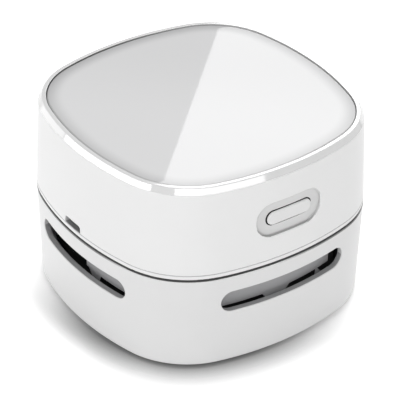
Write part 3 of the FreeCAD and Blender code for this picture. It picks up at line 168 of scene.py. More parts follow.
def dress(finish, *pieces):
    """Puts a finish on pieces, which are objects or the names of CAD nodes."""
    for piece in pieces:
        thing = cad[piece] if isinstance(piece, str) else piece
        if not thing.data.materials:
            thing.data.materials.append(finish.material)
        for spot in thing.material_slots:
            spot.material = finish.material


def leave_edit():
    bpy.ops.object.mode_set(mode="OBJECT")


def clear_selection():
    if bpy.context.object and bpy.context.object.mode == "EDIT":
        leave_edit()
    bpy.ops.object.select_all(action="DESELECT")


# A painted shadow darkens the table close to the cleaner's front and left, and further out on the left.
table_radius, table_white, table_seen, table_glow = 6.0, 0.9, 1.4, 0.03
contact_reach, contact_start, contact_full, contact_dark = 0.0095, -0.006, -0.053, 0.87
left_start, left_full, left_power = -0.008, -0.035, 1.3

clear_selection()
bpy.ops.mesh.primitive_circle_add(vertices=96, radius=table_radius, fill_type="NGON", location=(0, 0, 0))
table = bpy.context.object
table.name = "table_top"
paper = Finish("table_paper", roughness=0.9, specular_ior_level=0.0, emission_strength=1.0)
near = paper.node("AmbientOcclusion", {"samples": 24}, {"Distance": contact_reach}, output="AO")
lean = paper.between(paper.along("X") + paper.along("Y"), contact_start, contact_full)
left = paper.between(paper.along("X") - paper.along("Y"), left_start, left_full)
near = near.maths("POWER", left * left_power + 2)
paper.colour(paper.seen(), table_white, paper.blend((1 - near) * lean * contact_dark, table_seen, 0.0),
             emission_color=paper.blend(paper.seen(), 0.0, table_glow))
dress(paper, table)

# ------ studio light
# An even white room with soft boxes: one above, one behind whose straight near edge is mirrored
# slantwise in the polished top, a row of five round the bevelled rim, and one at each visible side.

scene.view_settings.view_transform = "Standard"
room_light = 0.42
room = bpy.data.worlds.new("room")
scene.world = room
sky = Finish("sky", room, "Background", color=1.0)
sky.set(strength=sky.node("MapRange", {}, {"Value": sky.seen(), "To Min": room_light, "To Max": 1.0}))


def soft_box(name, width, height, brightness, centre, back, across=None):
    """A lamp of that brightness, as a mirror shows it; back points away from what it lights."""
    lamp = bpy.data.lights.new(name, "AREA")
    lamp.shape = "RECTANGLE"
    lamp.size = width
    lamp.size_y = height
    lamp.energy = brightness * math.pi * width * height
    stand = bpy.data.objects.new(name, lamp)
    back = Vector(back).normalized()
    side = (across or Vector((0, 0, 1)).cross(back)).normalized()
    stand.matrix_world = Matrix.Translation(centre) @ Matrix((side, back.cross(side), back)).transposed().to_4x4()
    scene.collection.objects.link(stand)


def toward(turn, rise):
    """The way to look from the cleaner: a turn from +X and a rise above the table, in degrees."""
    turn, rise = math.radians(turn), math.radians(rise)
    return Vector((math.cos(turn) * math.cos(rise), math.sin(turn) * math.cos(rise), math.sin(rise)))


mirror_from = Vector((0.02815, 0.03014, 0.0583))
mirror_to = Vector((-0.03217, -0.02794, 0.0583))
mirrored_way = Vector((0.4985, 0.6915, 0.5230)).normalized()
beside = (mirror_from - mirror_to).cross(mirrored_way).normalized()
back_width, back_height, back_distance, back_light = 0.9, 0.8, 1.3, 2.62
back_centre = (mirror_from + mirror_to) / 2 + mirrored_way * back_distance + beside * back_width / 2
soft_box("back_box", back_width, back_height, back_light, back_centre, mirrored_way, beside)

box_distance, top_width, rim_height, rim_level, side_box, side_level = 1.5, 0.6, 0.36, 0.05, (0.7, 0.5), 0.03
overhead = toward(45, 80)
soft_box("top_box", top_width, top_width, 1.5, overhead * box_distance, overhead)
for box, (start, end, brightness) in enumerate((
        ((98.0, -2.0), (126.0, 10.2), 0.9), ((126.8, 10.6), (165.5, 25.4), 2.45),
        ((165.5, 25.4), (187.3, 30.8), 2.45), ((218.0, 34.9), (257.0, 34.9), 2.45),
        ((257.0, 34.9), (294.0, 27.9), 1.8))):
    first, last = toward(*start), toward(*end)
    middle = (first + last).normalized()
    soft_box(f"rim_box_{box}", 2 * box_distance * math.tan(first.angle(last) / 2), rim_height, brightness,
             middle * box_distance + Vector((0, 0, rim_level)), middle, last - first)
for name, turn, brightness in (("left_box", 190, 3.3), ("right_box", 276, 2.7)):
    way = toward(turn, 10)
    soft_box(name, *side_box, brightness, way * box_distance + Vector((0, 0, side_level)), way)

# ------ lower housing
# The wall of the dust box: white ABS, moulded with a little draft so that it leaves the tool, open
# above and below, with one long vent through each side whose edges and inside are painted grey, as
# painted shade.

half_width, side_radius, corner_radius = 0.042, 0.084, 0.025
bow_centre = half_width - side_radius
corner_centre = 0.0150486
bow_turn = math.atan2(corner_centre, corner_centre - bow_centre)
corner_turn = math.pi / 2 - 2 * bow_turn
half_bow_steps, corner_steps = 9, 28
upright = Matrix.Identity(4)


def inset_of(point):
    """How far a point lies inside the plan of four bowed sides and four round corners."""
    along, across = sorted((abs(point.x), abs(point.y)), reverse=True)
    if math.atan2(across, along - bow_centre) < bow_turn:
        return side_radius - math.hypot(along - bow_centre, across)
    return corner_radius - math.hypot(along - corner_centre, across - corner_centre)


def enter_edit():
    bpy.ops.object.mode_set(mode="EDIT")


def pick(kind, chosen, sharp=False):
    """In edit mode, selects the parts whose corners all pass a test."""
    bpy.ops.mesh.select_mode(type=kind)
    bpy.ops.mesh.select_all(action="DESELECT")
    if sharp:
        bpy.ops.mesh.edges_select_sharp(sharpness=math.radians(40))
    leave_edit()
    mesh = bpy.context.object.data
    passed = [chosen(corner.co) for corner in mesh.vertices]
    for part in {"VERT": mesh.vertices, "EDGE": mesh.edges, "FACE": mesh.polygons}[kind]:
        corners = [part.index] if kind == "VERT" else part.vertices
        part.select = (part.select or not sharp) and all(passed[corner] for corner in corners)
    enter_edit()


def pull(step):
    bpy.ops.mesh.extrude_region_move(TRANSFORM_OT_translate={"value": step})


def step_in(width, step):
    """Insets the chosen face and pulls it on by a step."""
    bpy.ops.mesh.inset(thickness=width)
    pull(step)


def begin_edit():
    bpy.ops.object.transform_apply()
    enter_edit()


def take_all():
    bpy.ops.mesh.select_all(action="SELECT")


def draw(name, points, closed=False):
    """A line of edges, drawn on from a vertex through (x, height) points."""
    clear_selection()
    spots = [Vector((x, 0, height)) for x, height in points]
    bpy.ops.mesh.primitive_plane_add(size=0.001, location=spots[0])
    bpy.context.object.name = name
    begin_edit()
    bpy.ops.mesh.select_mode(type="VERT")
    take_all()
    bpy.ops.mesh.merge(type="CENTER")
    for here, there in zip(spots, spots[1:]):
        pull(there - here)
    if closed:
        pick("VERT", lambda co: min((co - spots[0]).length, (co - spots[-1]).length) < 1e-6)
        bpy.ops.mesh.edge_face_add()


def draw_wall(name, points, closed=True):
    """The section of a wall through (inset, height) points."""
    draw(name, [(half_width - inset, height) for inset, height in points], closed)


def soften(inset, height, radius, steps=4):
    """Rounds one corner of the drawn section."""
    spot = Vector((half_width - inset, 0, height))
    pick("VERT", lambda co: (co - spot).length < 1e-6)
    bpy.ops.mesh.bevel(offset=radius, segments=steps, affect="VERTICES")


def merge_doubles(apart=0.000002):
    take_all()
    bpy.ops.mesh.remove_doubles(threshold=apart)


def sweep():
    """Carries the drawn section once round the four bowed sides and the four round corners."""
    take_all()
    for quarter in range(4):
        for steps, turn, centre in ((half_bow_steps, bow_turn, (bow_centre, 0, 0)),
                                    (corner_steps, corner_turn, (corner_centre, corner_centre, 0)),
                                    (half_bow_steps, bow_turn, (0, bow_centre, 0))):
            bpy.ops.mesh.spin(steps=steps, angle=-turn, axis=(0, 0, 1),
                              center=Matrix.Rotation(quarter * math.pi / 2, 3, "Z") @ Vector(centre))
    merge_doubles()


def cap(height):
    """Closes the open ring of a swept wall at one height with a flat face."""
    pick("EDGE", lambda co: abs(co.z - height) < 1e-6)
    bpy.ops.mesh.edge_face_add()


def close_up():
    """Leaves edit mode with the faces turned outwards."""
    take_all()
    bpy.ops.mesh.normals_make_consistent(inside=False)
    leave_edit()
    return bpy.context.object


def work_on(piece):
    clear_selection()
    bpy.context.view_layer.objects.active = piece
    piece.select_set(True)


def modify(piece, kind, **settings):
    """Adds a modifier to a piece and applies it."""
    work_on(piece)
    made = piece.modifiers.new("shape", kind)
    for name, value in settings.items():
        setattr(made, name, value)
    bpy.ops.object.modifier_apply(modifier=made.name)


def cut_away(piece, tool, operation="DIFFERENCE"):
    modify(piece, "BOOLEAN", operation=operation, solver="EXACT", object=tool)
    bpy.data.objects.remove(tool)


def mould_on(piece, addition):
    """Makes an addition one with the piece that it stands in."""
    cut_away(piece, addition, "UNION")


def round_off(piece, radius, steps, chosen=lambda co: True):
    """Rounds the sharp edges of a piece whose ends pass a test."""
    work_on(piece)
    enter_edit()
    pick("EDGE", chosen, sharp=True)
    bpy.ops.mesh.bevel(offset=radius, segments=steps, affect="EDGES", clamp_overlap=False)
    leave_edit()


def block(size, centre):
    """A block to be shaped in edit mode."""
    clear_selection()
    bpy.ops.mesh.primitive_cube_add(size=1.0, location=centre, scale=size)
    begin_edit()
    return bpy.context.object


def slot_block(length, height, depth, centre, turn=0.0, steps=20):
    """A block with round ends that lies through a wall: length along the wall, depth through it."""
    block((length, depth, height), (0, 0, 0))
    for side in (-length / 2, length / 2):
        for end in (-height / 2, height / 2):
            pick("EDGE", lambda co: abs(co.x - side) < 1e-6 and abs(co.z - end) < 1e-6)
            bpy.ops.mesh.bevel(offset=height / 2 - 1e-6, segments=steps, affect="EDGES")
    merge_doubles(0.000003)
    slot = close_up()
    slot.data.transform(Matrix.Translation(centre) @ Matrix.Rotation(turn, 4, "Z"))
    return slot


def dress_faces(piece, finish, chosen):
    """Puts another finish on the faces of a piece whose corners pass a test."""
    work_on(piece)
    piece.data.materials.append(finish.material)
    piece.active_material_index = len(piece.data.materials) - 1
    enter_edit()
    pick("FACE", chosen)
    bpy.ops.object.material_slot_assign()
    leave_edit()


def settle(piece, body, node):
    """Smooths a finished piece and puts it in its place in the assembly."""
    work_on(piece)
    bpy.ops.object.shade_smooth_by_angle(angle=math.radians(35))
    modify(piece, "WEIGHTED_NORMAL", keep_sharp=True)
    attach(piece, body)
    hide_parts(node)


def darker(shade, share):
    return tuple(part * (1 - share) for part in rgb(shade))


def moulded(name, shade, roughness, cloud=0.03, grain=0.0005, depth=0.0, **gloss):
    """Moulded plastic: a flat colour with a faint cloud in it, and a fine grain from the tool."""
    finish = Finish(name, **gloss)
    drift = finish.noise(0.015, 3.0)
    finish.colour(drift, shade, darker(shade, cloud), roughness=(drift - 0.5) * 0.06 + roughness)
    if depth:
        finish.relief(finish.noise(grain), depth)
    return finish


def four_corners(place, level):
    return [(x * place, y * place, level) for x in (-1, 1) for y in (-1, 1)]


def boss(foot, radius, length, pilot_depth, way=upright):
    """A round post with a blind hole for a screw in its foot; way turns it from +Z."""
    clear_selection()
    bpy.ops.mesh.primitive_cylinder_add(vertices=40, radius=radius, depth=length, location=(0, 0, length / 2))
    begin_edit()
    pick("FACE", lambda co: co.z < 1e-6)
    step_in(radius - screw_radius, (0, 0, pilot_depth))
    post = close_up()
    post.data.transform(Matrix.Translation(foot) @ way)
    return post


def join_up(name, pieces):
    clear_selection()
    for piece in pieces:
        piece.select_set(True)
    bpy.context.view_layer.objects.active = pieces[0]
    bpy.ops.object.join()
    bpy.context.object.name = name
    return bpy.context.object


lower_foot, lower_top, lower_draft, lower_wall = 0.0012, 0.0298, 0.001, 0.002
vent_level, vent_edge, through_walls = 0.0214, 0.0003, 0.1
front_vent, side_vent = (0.0412, 0.0066), (0.0402, 0.0062)
base_screw_place, base_boss_radius, base_boss_foot, base_boss_top = 0.02855, 0.0035, 0.0039, 0.011
screw_radius, base_pilot = 0.001, 0.0033
draw_wall("lower_housing_wall", ((lower_draft, lower_foot), (0, lower_top), (lower_wall, lower_top),
                                 (lower_draft + lower_wall, lower_foot)))
soften(lower_draft, lower_foot, 0.0009, 6)
soften(0, lower_top, vent_edge)
sweep()
lower_housing = close_up()
cut_away(lower_housing, slot_block(*front_vent, through_walls, (0, 0, vent_level)))
cut_away(lower_housing, slot_block(*side_vent, through_walls, (0, 0, vent_level), math.pi / 2))
round_off(lower_housing, vent_edge, 3, lambda co: abs(co.z - vent_level) < 0.0034)
mould_on(lower_housing, join_up("bosses", [
    boss(foot, base_boss_radius, base_boss_top - base_boss_foot, base_pilot)
    for foot in four_corners(base_screw_place, base_boss_foot)]))
# The dust box's white is painted a little darker than the cap's, as painted shade on the lower wall.
dress(moulded("lower_shaded_white", 0.775, 0.3, depth=0.0000008), lower_housing)
# The vents' cut faces are painted grey, as painted shade.
dress_faces(lower_housing, moulded("vent_shade", (0.36, 0.36, 0.365), 0.5, depth=0.000004),
            lambda co: abs(co.z - vent_level) < 0.00345 and inset_of(co) > 0.0006)
# The rounded edge under the joint is painted darker, as painted shade under the cap; the shade changes round the
# sides.
joint_edge_shade = Finish("joint_edge_shade", roughness=0.5)
sideways = joint_edge_shade.between(abs(joint_edge_shade.along("X") - joint_edge_shade.along("Y") - 0.01), 0.025, 0.042)
joint_edge_shade.colour(sideways, 0.75, 0.28)
dress_faces(lower_housing, joint_edge_shade, lambda co: co.z > lower_top - vent_edge and inset_of(co) < 0.001)
# The lower housing's top face, inside the joint's gap, is painted dark grey as painted shade.
dress_faces(lower_housing, moulded("seam_shade", 0.13, 0.6, depth=0.000004),
            lambda co: co.z > lower_top - 0.0001 and inset_of(co) > 0.0001)
settle(lower_housing, "root", "lower_housing")

# ------ dust tray
# The floor of the dust box and the wall that stands on it, in frosted white ABS. Air and crumbs
# come up through the chimney over the mouth, and a little dust has settled on the floor.

tray_level, tray_wall_top = 0.0039, 0.011
frosted = Finish("frosted_white")
cloud = frosted.noise(0.0035, 6.0)
settled = frosted.between(frosted.along("Z"), tray_wall_top, tray_level) * frosted.between(cloud, 0.35, 0.85)
crumbs = frosted.between(frosted.cells(1500.0), 0.16, 0.08) * settled
clean_tray = frosted.blend(cloud, (0.8, 0.81, 0.82), (0.76, 0.77, 0.78))
dusty_tray = frosted.blend(settled * 0.6, clean_tray, (0.6, 0.59, 0.57))
frosted.colour(crumbs, dusty_tray, (0.2, 0.17, 0.14), roughness=settled * 0.35 + 0.42)
frosted.relief(frosted.noise(0.0004) + crumbs * 3, 0.00001)
dress(frosted, "dust_tray", "tray_wall")

# ------ base plate
# A flat white ABS plate with the mouth through its middle, screwed under the tray. Its underside
# has a spark-eroded grain, rubbed smoother where it passes over a table.

base_foot = 0.0012
base_white = Finish("base_white")
scuffs = base_white.between(base_white.noise(0.0016, 5.0, (0.12, 1.0, 1.0)), 0.5, 0.72)
worn_below = scuffs * base_white.between(base_white.along("Z"), base_foot + 0.0002, base_foot)
base_white.colour(worn_below, (0.78, 0.78, 0.785), (0.71, 0.71, 0.715), roughness=0.55 - worn_below * 0.2)
base_white.relief(base_white.noise(0.00025, 3.0), 0.00002)
dress(base_white, "base_plate")

# ------ brushes
# Two bars of black nylon, clamped beside the mouth, each with a row of stapled bristle tufts that
# sweep crumbs towards it. The bristles splay a little at their tips.

dress(moulded("brush_nylon", (0.035, 0.035, 0.037), 0.45, cloud=0.2, depth=0.00001), "brush_strips")


def repeat(piece, count, step):
    """Repeats a piece in a row."""
    modify(piece, "ARRAY", count=count, use_relative_offset=False, use_constant_offset=True,
           constant_offset_displace=step)


tufts, tuft_pitch, tuft_row, tuft_radius, tuft_splay = 13, 0.0033, 0.007, 0.0008, 0.09
bristle_tip, bristle_root, bristle_radius = 0.00015, 0.0012, 0.00006
first_tuft = Vector((-tuft_pitch * (tufts - 1) / 2, -tuft_row, (bristle_tip + bristle_root) / 2))
clear_selection()
for ring, count in ((0, 1), (0.45, 6), (0.82, 12)):
    for place in range(count):
        turn = 2 * math.pi * place / count
        out = Vector((math.cos(turn), math.sin(turn), 0)) * tuft_radius * ring
        splay = tuft_splay * ring
        bpy.ops.mesh.primitive_cone_add(
            vertices=6, radius1=bristle_radius, radius2=bristle_radius, depth=bristle_root - bristle_tip,
            location=first_tuft + out * 0.93, rotation=(math.sin(turn) * splay, -math.cos(turn) * splay, 0))
    if ring == 0:
        begin_edit()
leave_edit()
brush_tufts = bpy.context.object
brush_tufts.name = "bristle_tufts"
repeat(brush_tufts, tufts, (tuft_pitch, 0, 0))
repeat(brush_tufts, 2, (0, tuft_row * 2, 0))
bristle_nylon = Finish("bristle_nylon", roughness=0.4)
bristle_nylon.colour(bristle_nylon.noise(0.0003, 1.0), (0.16, 0.16, 0.165), (0.34, 0.34, 0.35))
dress(bristle_nylon, brush_tufts)
settle(brush_tufts, "root", "brush_tufts")

# ------ glide pads
# Four soft grey rubber discs, pressed into the base plate at the corners, on which the cleaner
# slides. Their running faces are matt and pick up lint.

pad_rubber = Finish("pad_rubber", roughness=0.75, specular_ior_level=0.3)
lint = pad_rubber.between(pad_rubber.noise(0.0012, 5.0), 0.56, 0.7)
pad_rubber.colour(lint, (0.43, 0.43, 0.44), (0.58, 0.57, 0.56))
pad_rubber.relief(pad_rubber.noise(0.0002, 3.0), 0.00003)
dress(pad_rubber, "glide_pads")

# ------ base screws
# Four zinc-plated steel screws with countersunk cross heads hold the base plate. Every screw here
# is turned from a half outline, rolled with thread rings, and has its cross punched in.

screw_head_radius, screw_head_height = 0.0019, 0.0011
thread_pitch, thread_depth, cross_length, cross_width, cross_depth = 0.0008, 0.0002, 0.0022, 0.0005, 0.0008


def plated(name, shade, roughness):
    """Bare or plated metal with fine streaks in its polish."""
    finish = Finish(name, metallic=1.0)
    lines = finish.noise(0.0006, 3.0, (1.0, 1.0, 0.1))
    finish.colour(finish.noise(0.004, 3.0), shade, darker(shade, 0.18), roughness=roughness + (lines - 0.5) * 0.3)
    finish.relief(lines, 0.000003)
    return finish


def turned(name, line, steps=24):
    """A solid turned about Z from a line of (radius, height) points from axis to axis."""
    draw(name, line)
    take_all()
    bpy.ops.mesh.spin(steps=steps, angle=2 * math.pi, center=(0, 0, 0), axis=(0, 0, 1))
    merge_doubles()
    return close_up()


def copies_at(piece, seats, ways=(upright,)):
    """Copies a piece, each with its own mesh, to each seat, turned each way from +Z."""
    copies = []
    for way in ways:
        for seat in seats:
            work_on(piece)
            bpy.ops.object.duplicate()
            copies.append(bpy.context.object)
            copies[-1].data.transform(Matrix.Translation(seat) @ way)
    bpy.data.objects.remove(piece)
    return copies


def screws(name, body, node, reach, sunk, seats, way=upright):
    """Like screws, their heads at the seats, whose tips point the way that +Z is turned to."""
    if sunk:
        line = [(0, 0), (screw_head_radius - 0.0001, 0), (screw_head_radius, 0.0001)]
    else:
        line = [(0, 0), (screw_head_radius * 0.7, 0.00012), (screw_head_radius, 0.0004),
                (screw_head_radius, screw_head_height)]
    line.append((screw_radius, screw_head_height))
    for ring in range(int((reach - screw_head_height - 0.001) / thread_pitch)):
        level = screw_head_height + thread_pitch * (ring + 0.3)
        line += [(screw_radius - thread_depth, level), (screw_radius, level + thread_pitch / 2)]
    line += [(screw_radius - thread_depth, reach - 0.0009), (0, reach)]
    screw = turned(name, line)
    for wide, deep in ((cross_length, cross_width), (cross_width, cross_length)):
        cut_away(screw, block((wide, deep, cross_depth * 2), (0, 0, 0)))
    whole = join_up(name, copies_at(screw, seats, [way]))
    dress(zinc, whole)
    settle(whole, body, node)


zinc = plated("zinc_plate", (0.6, 0.6, 0.62), 0.32)
screws("base_screw_set", "root", "base_screws", reach=0.006, sunk=True,
       seats=four_corners(base_screw_place, base_foot))

# ------ filter
# A square grey ABS frame, pushed up by hand into the rubber ring, with a fine nylon mesh welded
# over its cross of ribs. Dust has greyed the mesh in clouds.

mesh_pitch = 0.0005


def ripples(finish, axis, pitch):
    """Even waves along an axis, from -1 to 1."""
    return (finish.along(axis) * (2 * math.pi / pitch)).maths("SINE")


dress(moulded("filter_frame_grey", (0.5, 0.5, 0.51), 0.45, cloud=0.06, depth=0.000004), "filter_frame")
filter_cloth = Finish("filter_cloth", roughness=0.85, specular_ior_level=0.2)
weave = ripples(filter_cloth, "X", mesh_pitch) * ripples(filter_cloth, "Y", mesh_pitch)
dust = filter_cloth.between(filter_cloth.noise(0.009, 5.0), 0.42, 0.7)
threads = filter_cloth.blend(dust * 0.6, (0.82, 0.82, 0.8), (0.5, 0.48, 0.45))
filter_cloth.colour(filter_cloth.between(weave, 0.1, 0.9) * 0.5, threads, 0.3)
filter_cloth.relief(weave * 0.5 + 0.5, 0.00012)
dress(filter_cloth, "filter_mesh")

# ------ seal ring
# A soft grey silicone ring between the dust box's wall and the fan cover, pressed flat when the
# head sits down. Its skin has a matt bloom.

seal_rubber = Finish("seal_rubber", specular_ior_level=0.35)
bloom = seal_rubber.between(seal_rubber.noise(0.006, 4.0), 0.42, 0.7)
seal_rubber.colour(bloom * 0.7, (0.2, 0.2, 0.205), (0.32, 0.32, 0.325), roughness=bloom * 0.2 + 0.55)
seal_rubber.relief(seal_rubber.noise(0.0003), 0.00001)
dress(seal_rubber, "seal_ring")

# ------ fan cover and shroud
# The fan's chamber: a black nylon floor with the guarded intake, and a ring wall with windows
# towards the vents, grey outside; its inner faces are painted near black, as painted shade. Four long
# screws go up through both.

dress(moulded("fan_black", 0.012, 0.6, cloud=0.3, depth=0.000004), "fan_cover")
shroud_grey = Finish("shroud_grey", roughness=0.5)
# Faces turned inwards are painted near black, as painted shade inside the chamber.
outward = shroud_grey.vectors("NORMALIZE", shroud_grey.vectors("MULTIPLY", shroud_grey.place(), (1.0, 1.0, 0.0)))
normal = shroud_grey.node("NewGeometry", {}, {}, output="Normal")
facing = shroud_grey.vectors("DOT_PRODUCT", outward, normal, output="Value")
outer_grey = shroud_grey.blend(shroud_grey.noise(0.006, 3.0), (0.48, 0.48, 0.49), (0.44, 0.44, 0.45))
shroud_grey.colour(shroud_grey.between(facing, 0.3, 0.6), 0.02, outer_grey)
shroud_grey.relief(shroud_grey.noise(0.0005), 0.000004)
dress(shroud_grey, "fan_shroud")
cover_foot, post_place, post_reach = 0.013, 0.0015, 0.0336
screws("cover_screw_set", "head", "cover_screws", reach=0.0116, sunk=True, seats=[
    (x, y, cover_foot) for x, y in ((-post_place, -post_reach), (post_place, post_reach),
                                    (-post_reach, -post_place), (post_reach, post_place))])

# ------ chassis
# The floor of the head in grey ABS; its outer band, which shows as a thin line under the cap, is
# polished white. Its outer edge below the band is painted near black, and above the band and on its
# rim painted grey, as painted shade in the joint.

band_foot, band_head, band_inside, chassis_rim = 0.0305, 0.0317, 0.0391, 0.03188


def from_spot(along, across):
    """How far a point lies from a centre, given its two distances from it."""
    return (along * along + across * across).maths("SQRT")


def from_middle(finish):
    """The larger and the smaller of a point's two plan distances from the middle."""
    x, y = abs(finish.along("X")), abs(finish.along("Y"))
    return x.maths("MAXIMUM", y), x.maths("MINIMUM", y)


chassis = Finish("chassis_finish")
height = chassis.along("Z")
ahead, aside = from_middle(chassis)
outer = chassis.between(from_spot(ahead, aside) - aside * 0.07, band_inside, band_inside + 0.0001)
above_foot = chassis.between(height, band_foot, band_foot + 0.0001)
below_head = chassis.between(height, band_head, band_head - 0.00006)
# The outer edge is painted near black low in the joint and grey above it and on the rim, as painted shade.
shadowed = chassis.between(height, band_foot + 0.0005, band_foot + 0.001)
band_edge_shade = chassis.blend(shadowed, (0.06, 0.06, 0.062), (0.55, 0.55, 0.555))
on_rim = chassis.between(height, chassis_rim - 0.00001, chassis_rim + 0.00001)
band_edge_shade = chassis.blend(on_rim, band_edge_shade, (0.26, 0.26, 0.265))
flow = chassis.noise(0.012, 3.0)
inner_grey = chassis.blend(flow, (0.2, 0.2, 0.205), (0.17, 0.17, 0.175))
chassis.colour(above_foot * below_head * outer, chassis.blend(outer, inner_grey, band_edge_shade), 0.85,
               roughness=flow * 0.06 + 0.32)
chassis.relief(chassis.noise(0.0005), 0.000002)
dress(chassis, "chassis")

# ------ motor
# A small brushed motor, pressed down into its seat: a drawn steel can with two ferrite magnets and
# sintered bronze bushes, closed by a black nylon cap that holds the terminals and the brushes.

motor_seat, motor_screw_place = 0.0224, 0.008


def drawn(name, shade, roughness):
    """Steel drawn or turned about Z, whose fine rings run round it."""
    finish = Finish(name, metallic=1.0)
    rings = finish.noise(0.0004, 4.0, (0.04, 0.04, 1.0))
    stain = finish.between(finish.noise(0.005, 4.0), 0.45, 0.75)
    finish.colour(stain * 0.4, shade, darker(shade, 0.4), roughness=rings * 0.25 + (stain * 0.15 + (roughness - 0.12)))
    finish.relief(rings, 0.000004)
    return finish


dress(drawn("can_steel", (0.58, 0.58, 0.6), 0.35), "motor_can")
screws("motor_screw_set", "head", "motor_screws", reach=0.0037, sunk=False,
       seats=[(x, 0, motor_seat) for x in (-motor_screw_place, motor_screw_place)])
ferrite = Finish("ferrite", roughness=0.62)
grains = ferrite.noise(0.0003, 3.0)
ferrite.colour(grains, (0.1, 0.1, 0.105), (0.2, 0.2, 0.21))
ferrite.relief(grains, 0.00003)
dress(ferrite, "motor_magnets")
bronze = Finish("sintered_bronze", metallic=1.0)
pores = bronze.between(bronze.cells(5000.0), 0.35, 0.1)
bronze.colour(pores, (0.55, 0.38, 0.2), (0.12, 0.08, 0.05), roughness=pores * 0.3 + 0.4)
bronze.relief(1 - pores, 0.00002)
dress(bronze, "motor_bushes")
dress(moulded("cap_nylon", 0.045, 0.5, cloud=0.25, grain=0.0003, depth=0.00001), "motor_end_cap")
dress(plated("terminal_brass", (0.72, 0.5, 0.26), 0.3), "motor_terminals")
carbon = Finish("carbon_copper", metallic=0.6)
flecks = carbon.between(carbon.noise(0.00025, 3.0), 0.5, 0.65)
carbon.colour(flecks, (0.06, 0.05, 0.05), (0.55, 0.3, 0.16), roughness=0.6 - flecks * 0.2)
dress(carbon, "motor_brushes")

# ------ armature
# The turning part: a ground steel shaft with a stack of thin core sheets, copper windings at both
# ends of it, and a copper commutator with three slots.

sheet_thickness, winding_wires, commutator_slots = 0.0005, 120, 3
dress(drawn("shaft_steel", (0.68, 0.68, 0.7), 0.2), "motor_shaft")
core_sheets = Finish("core_sheets", metallic=0.9)
seams = core_sheets.between(ripples(core_sheets, "Z", sheet_thickness), 0.55, 0.95)
rusty = core_sheets.blend(core_sheets.noise(0.002, 4.0), (0.5, 0.5, 0.52), (0.36, 0.34, 0.33))
core_sheets.colour(seams, rusty, 0.08, roughness=seams * 0.3 + 0.35)
core_sheets.relief(1 - seams, 0.00004)
dress(core_sheets, "armature_core")


def round_about(finish, count):
    """Even waves round Z, from -1 to 1, with that many of them in a turn."""
    return (finish.along("Y").maths("ARCTAN2", finish.along("X")) * count).maths("SINE")


winding_copper = Finish("winding_copper", metallic=1.0, coat_weight=0.6, coat_roughness=0.15)
wires = round_about(winding_copper, winding_wires)
winding_copper.colour(winding_copper.between(wires, -0.2, -0.9), (0.72, 0.36, 0.18), (0.2, 0.07, 0.03),
                      roughness=0.35 - wires * 0.08)
winding_copper.relief(wires * 0.5 + 0.5, 0.00012)
dress(winding_copper, "armature_windings")
bar_copper = Finish("bar_copper", metallic=1.0)
slots = bar_copper.between(round_about(bar_copper, commutator_slots), -0.985, -0.995)
rubbed = bar_copper.noise(0.0003, 3.0, (0.05, 0.05, 1.0))
worn_copper = bar_copper.blend(rubbed, (0.74, 0.42, 0.25), (0.4, 0.22, 0.14))
bar_copper.colour(slots, worn_copper, (0.03, 0.02, 0.02), roughness=rubbed * 0.2 + 0.25)
bar_copper.relief((1 - slots) * 2 + rubbed, 0.00003)
dress(bar_copper, "commutator")

# ------ impeller
# The fan, one moulding in black nylon, pressed on the shaft's lower end. Fine dust clings to its
# blades.

fan_nylon = Finish("fan_nylon")
fan_dust = fan_nylon.between(fan_nylon.noise(0.003, 5.0), 0.5, 0.75)
fan_nylon.colour(fan_dust, 0.01, (0.02, 0.02, 0.019), roughness=fan_dust * 0.2 + 0.5)
fan_nylon.relief(fan_nylon.noise(0.0004), 0.000005)
dress(fan_nylon, "impeller")

# ------ circuit board
# A green glass-epoxy board on two posts, with the charging socket over the band's notch, two
# chips with bent legs, a smoothing capacitor and two lead sockets. Two screws hold it.

track_pitch, pads_per_metre = 0.0032, 420.0


def printed(name, across, along):
    """Solder mask over copper tracks, laid out on two axes of the board."""
    finish = Finish(name, roughness=0.35, coat_weight=0.4, coat_roughness=0.2)
    flat = finish.node("CombineXYZ", {}, {"X": finish.along(across), "Y": finish.along(along)})
    near, far = (finish.node("TexVoronoi", {"feature": feature, "distance": "MANHATTAN"}, {
        "Vector": flat, "Scale": 1.0 / track_pitch, "Randomness": 0.8}) for feature in ("F1", "F2"))
    tracks = finish.between(far - near, 0.2, 0.14)
    holes = finish.node("TexVoronoi", {}, {"Vector": flat, "Scale": pads_per_metre, "Randomness": 0.35})
    pads = finish.between(holes, 0.24, 0.2)
    mask = finish.blend(tracks, (0.012, 0.13, 0.055), (0.025, 0.2, 0.085))
    tinned = finish.blend(finish.between(holes, 0.1, 0.08), (0.62, 0.62, 0.6), (0.02, 0.03, 0.02))
    finish.colour(pads, mask, tinned, metallic=pads * 0.8)
    finish.relief(tracks * 0.5 + pads, 0.00003)
    return finish


dress(printed("board_green", "X", "Y"), "circuit_board")
board_top, chip_x, chip_y = 0.03555, -0.0305, 0.006
chip_height, chip_width, chip_length, chip_lift = 0.0014, 0.0039, 0.005, 0.0002
chip_taper = (0.93, 0.91, 1.0)
leg_width, leg_thickness, leg_pitch, leg_level, leg_stub = 0.0004, 0.0002, 0.00127, 0.0007, 0.0004
chip = block((chip_length, chip_width, chip_height - chip_lift), (0, 0, (chip_height + chip_lift) / 2))
for face in (chip_lift, chip_height):
    pick("FACE", lambda co: abs(co.z - face) < 1e-6)
    bpy.ops.transform.resize(value=chip_taper)
leave_edit()
round_off(chip, 0.0001, 2)
leg = block((leg_width, leg_stub, leg_thickness), (-1.5 * leg_pitch, (chip_width + leg_stub) / 2, leg_level))
for end, step in ((leg_stub, (0, 0.0002, -0.0006)), (leg_stub + 0.0002, (0, 0.0004, 0))):
    pick("FACE", lambda co: co.y > chip_width / 2 + end - 1e-6)
    pull(step)
close_up()
repeat(leg, 4, (leg_pitch, 0, 0))
half_turn = Matrix.Rotation(math.pi, 4, "Z")
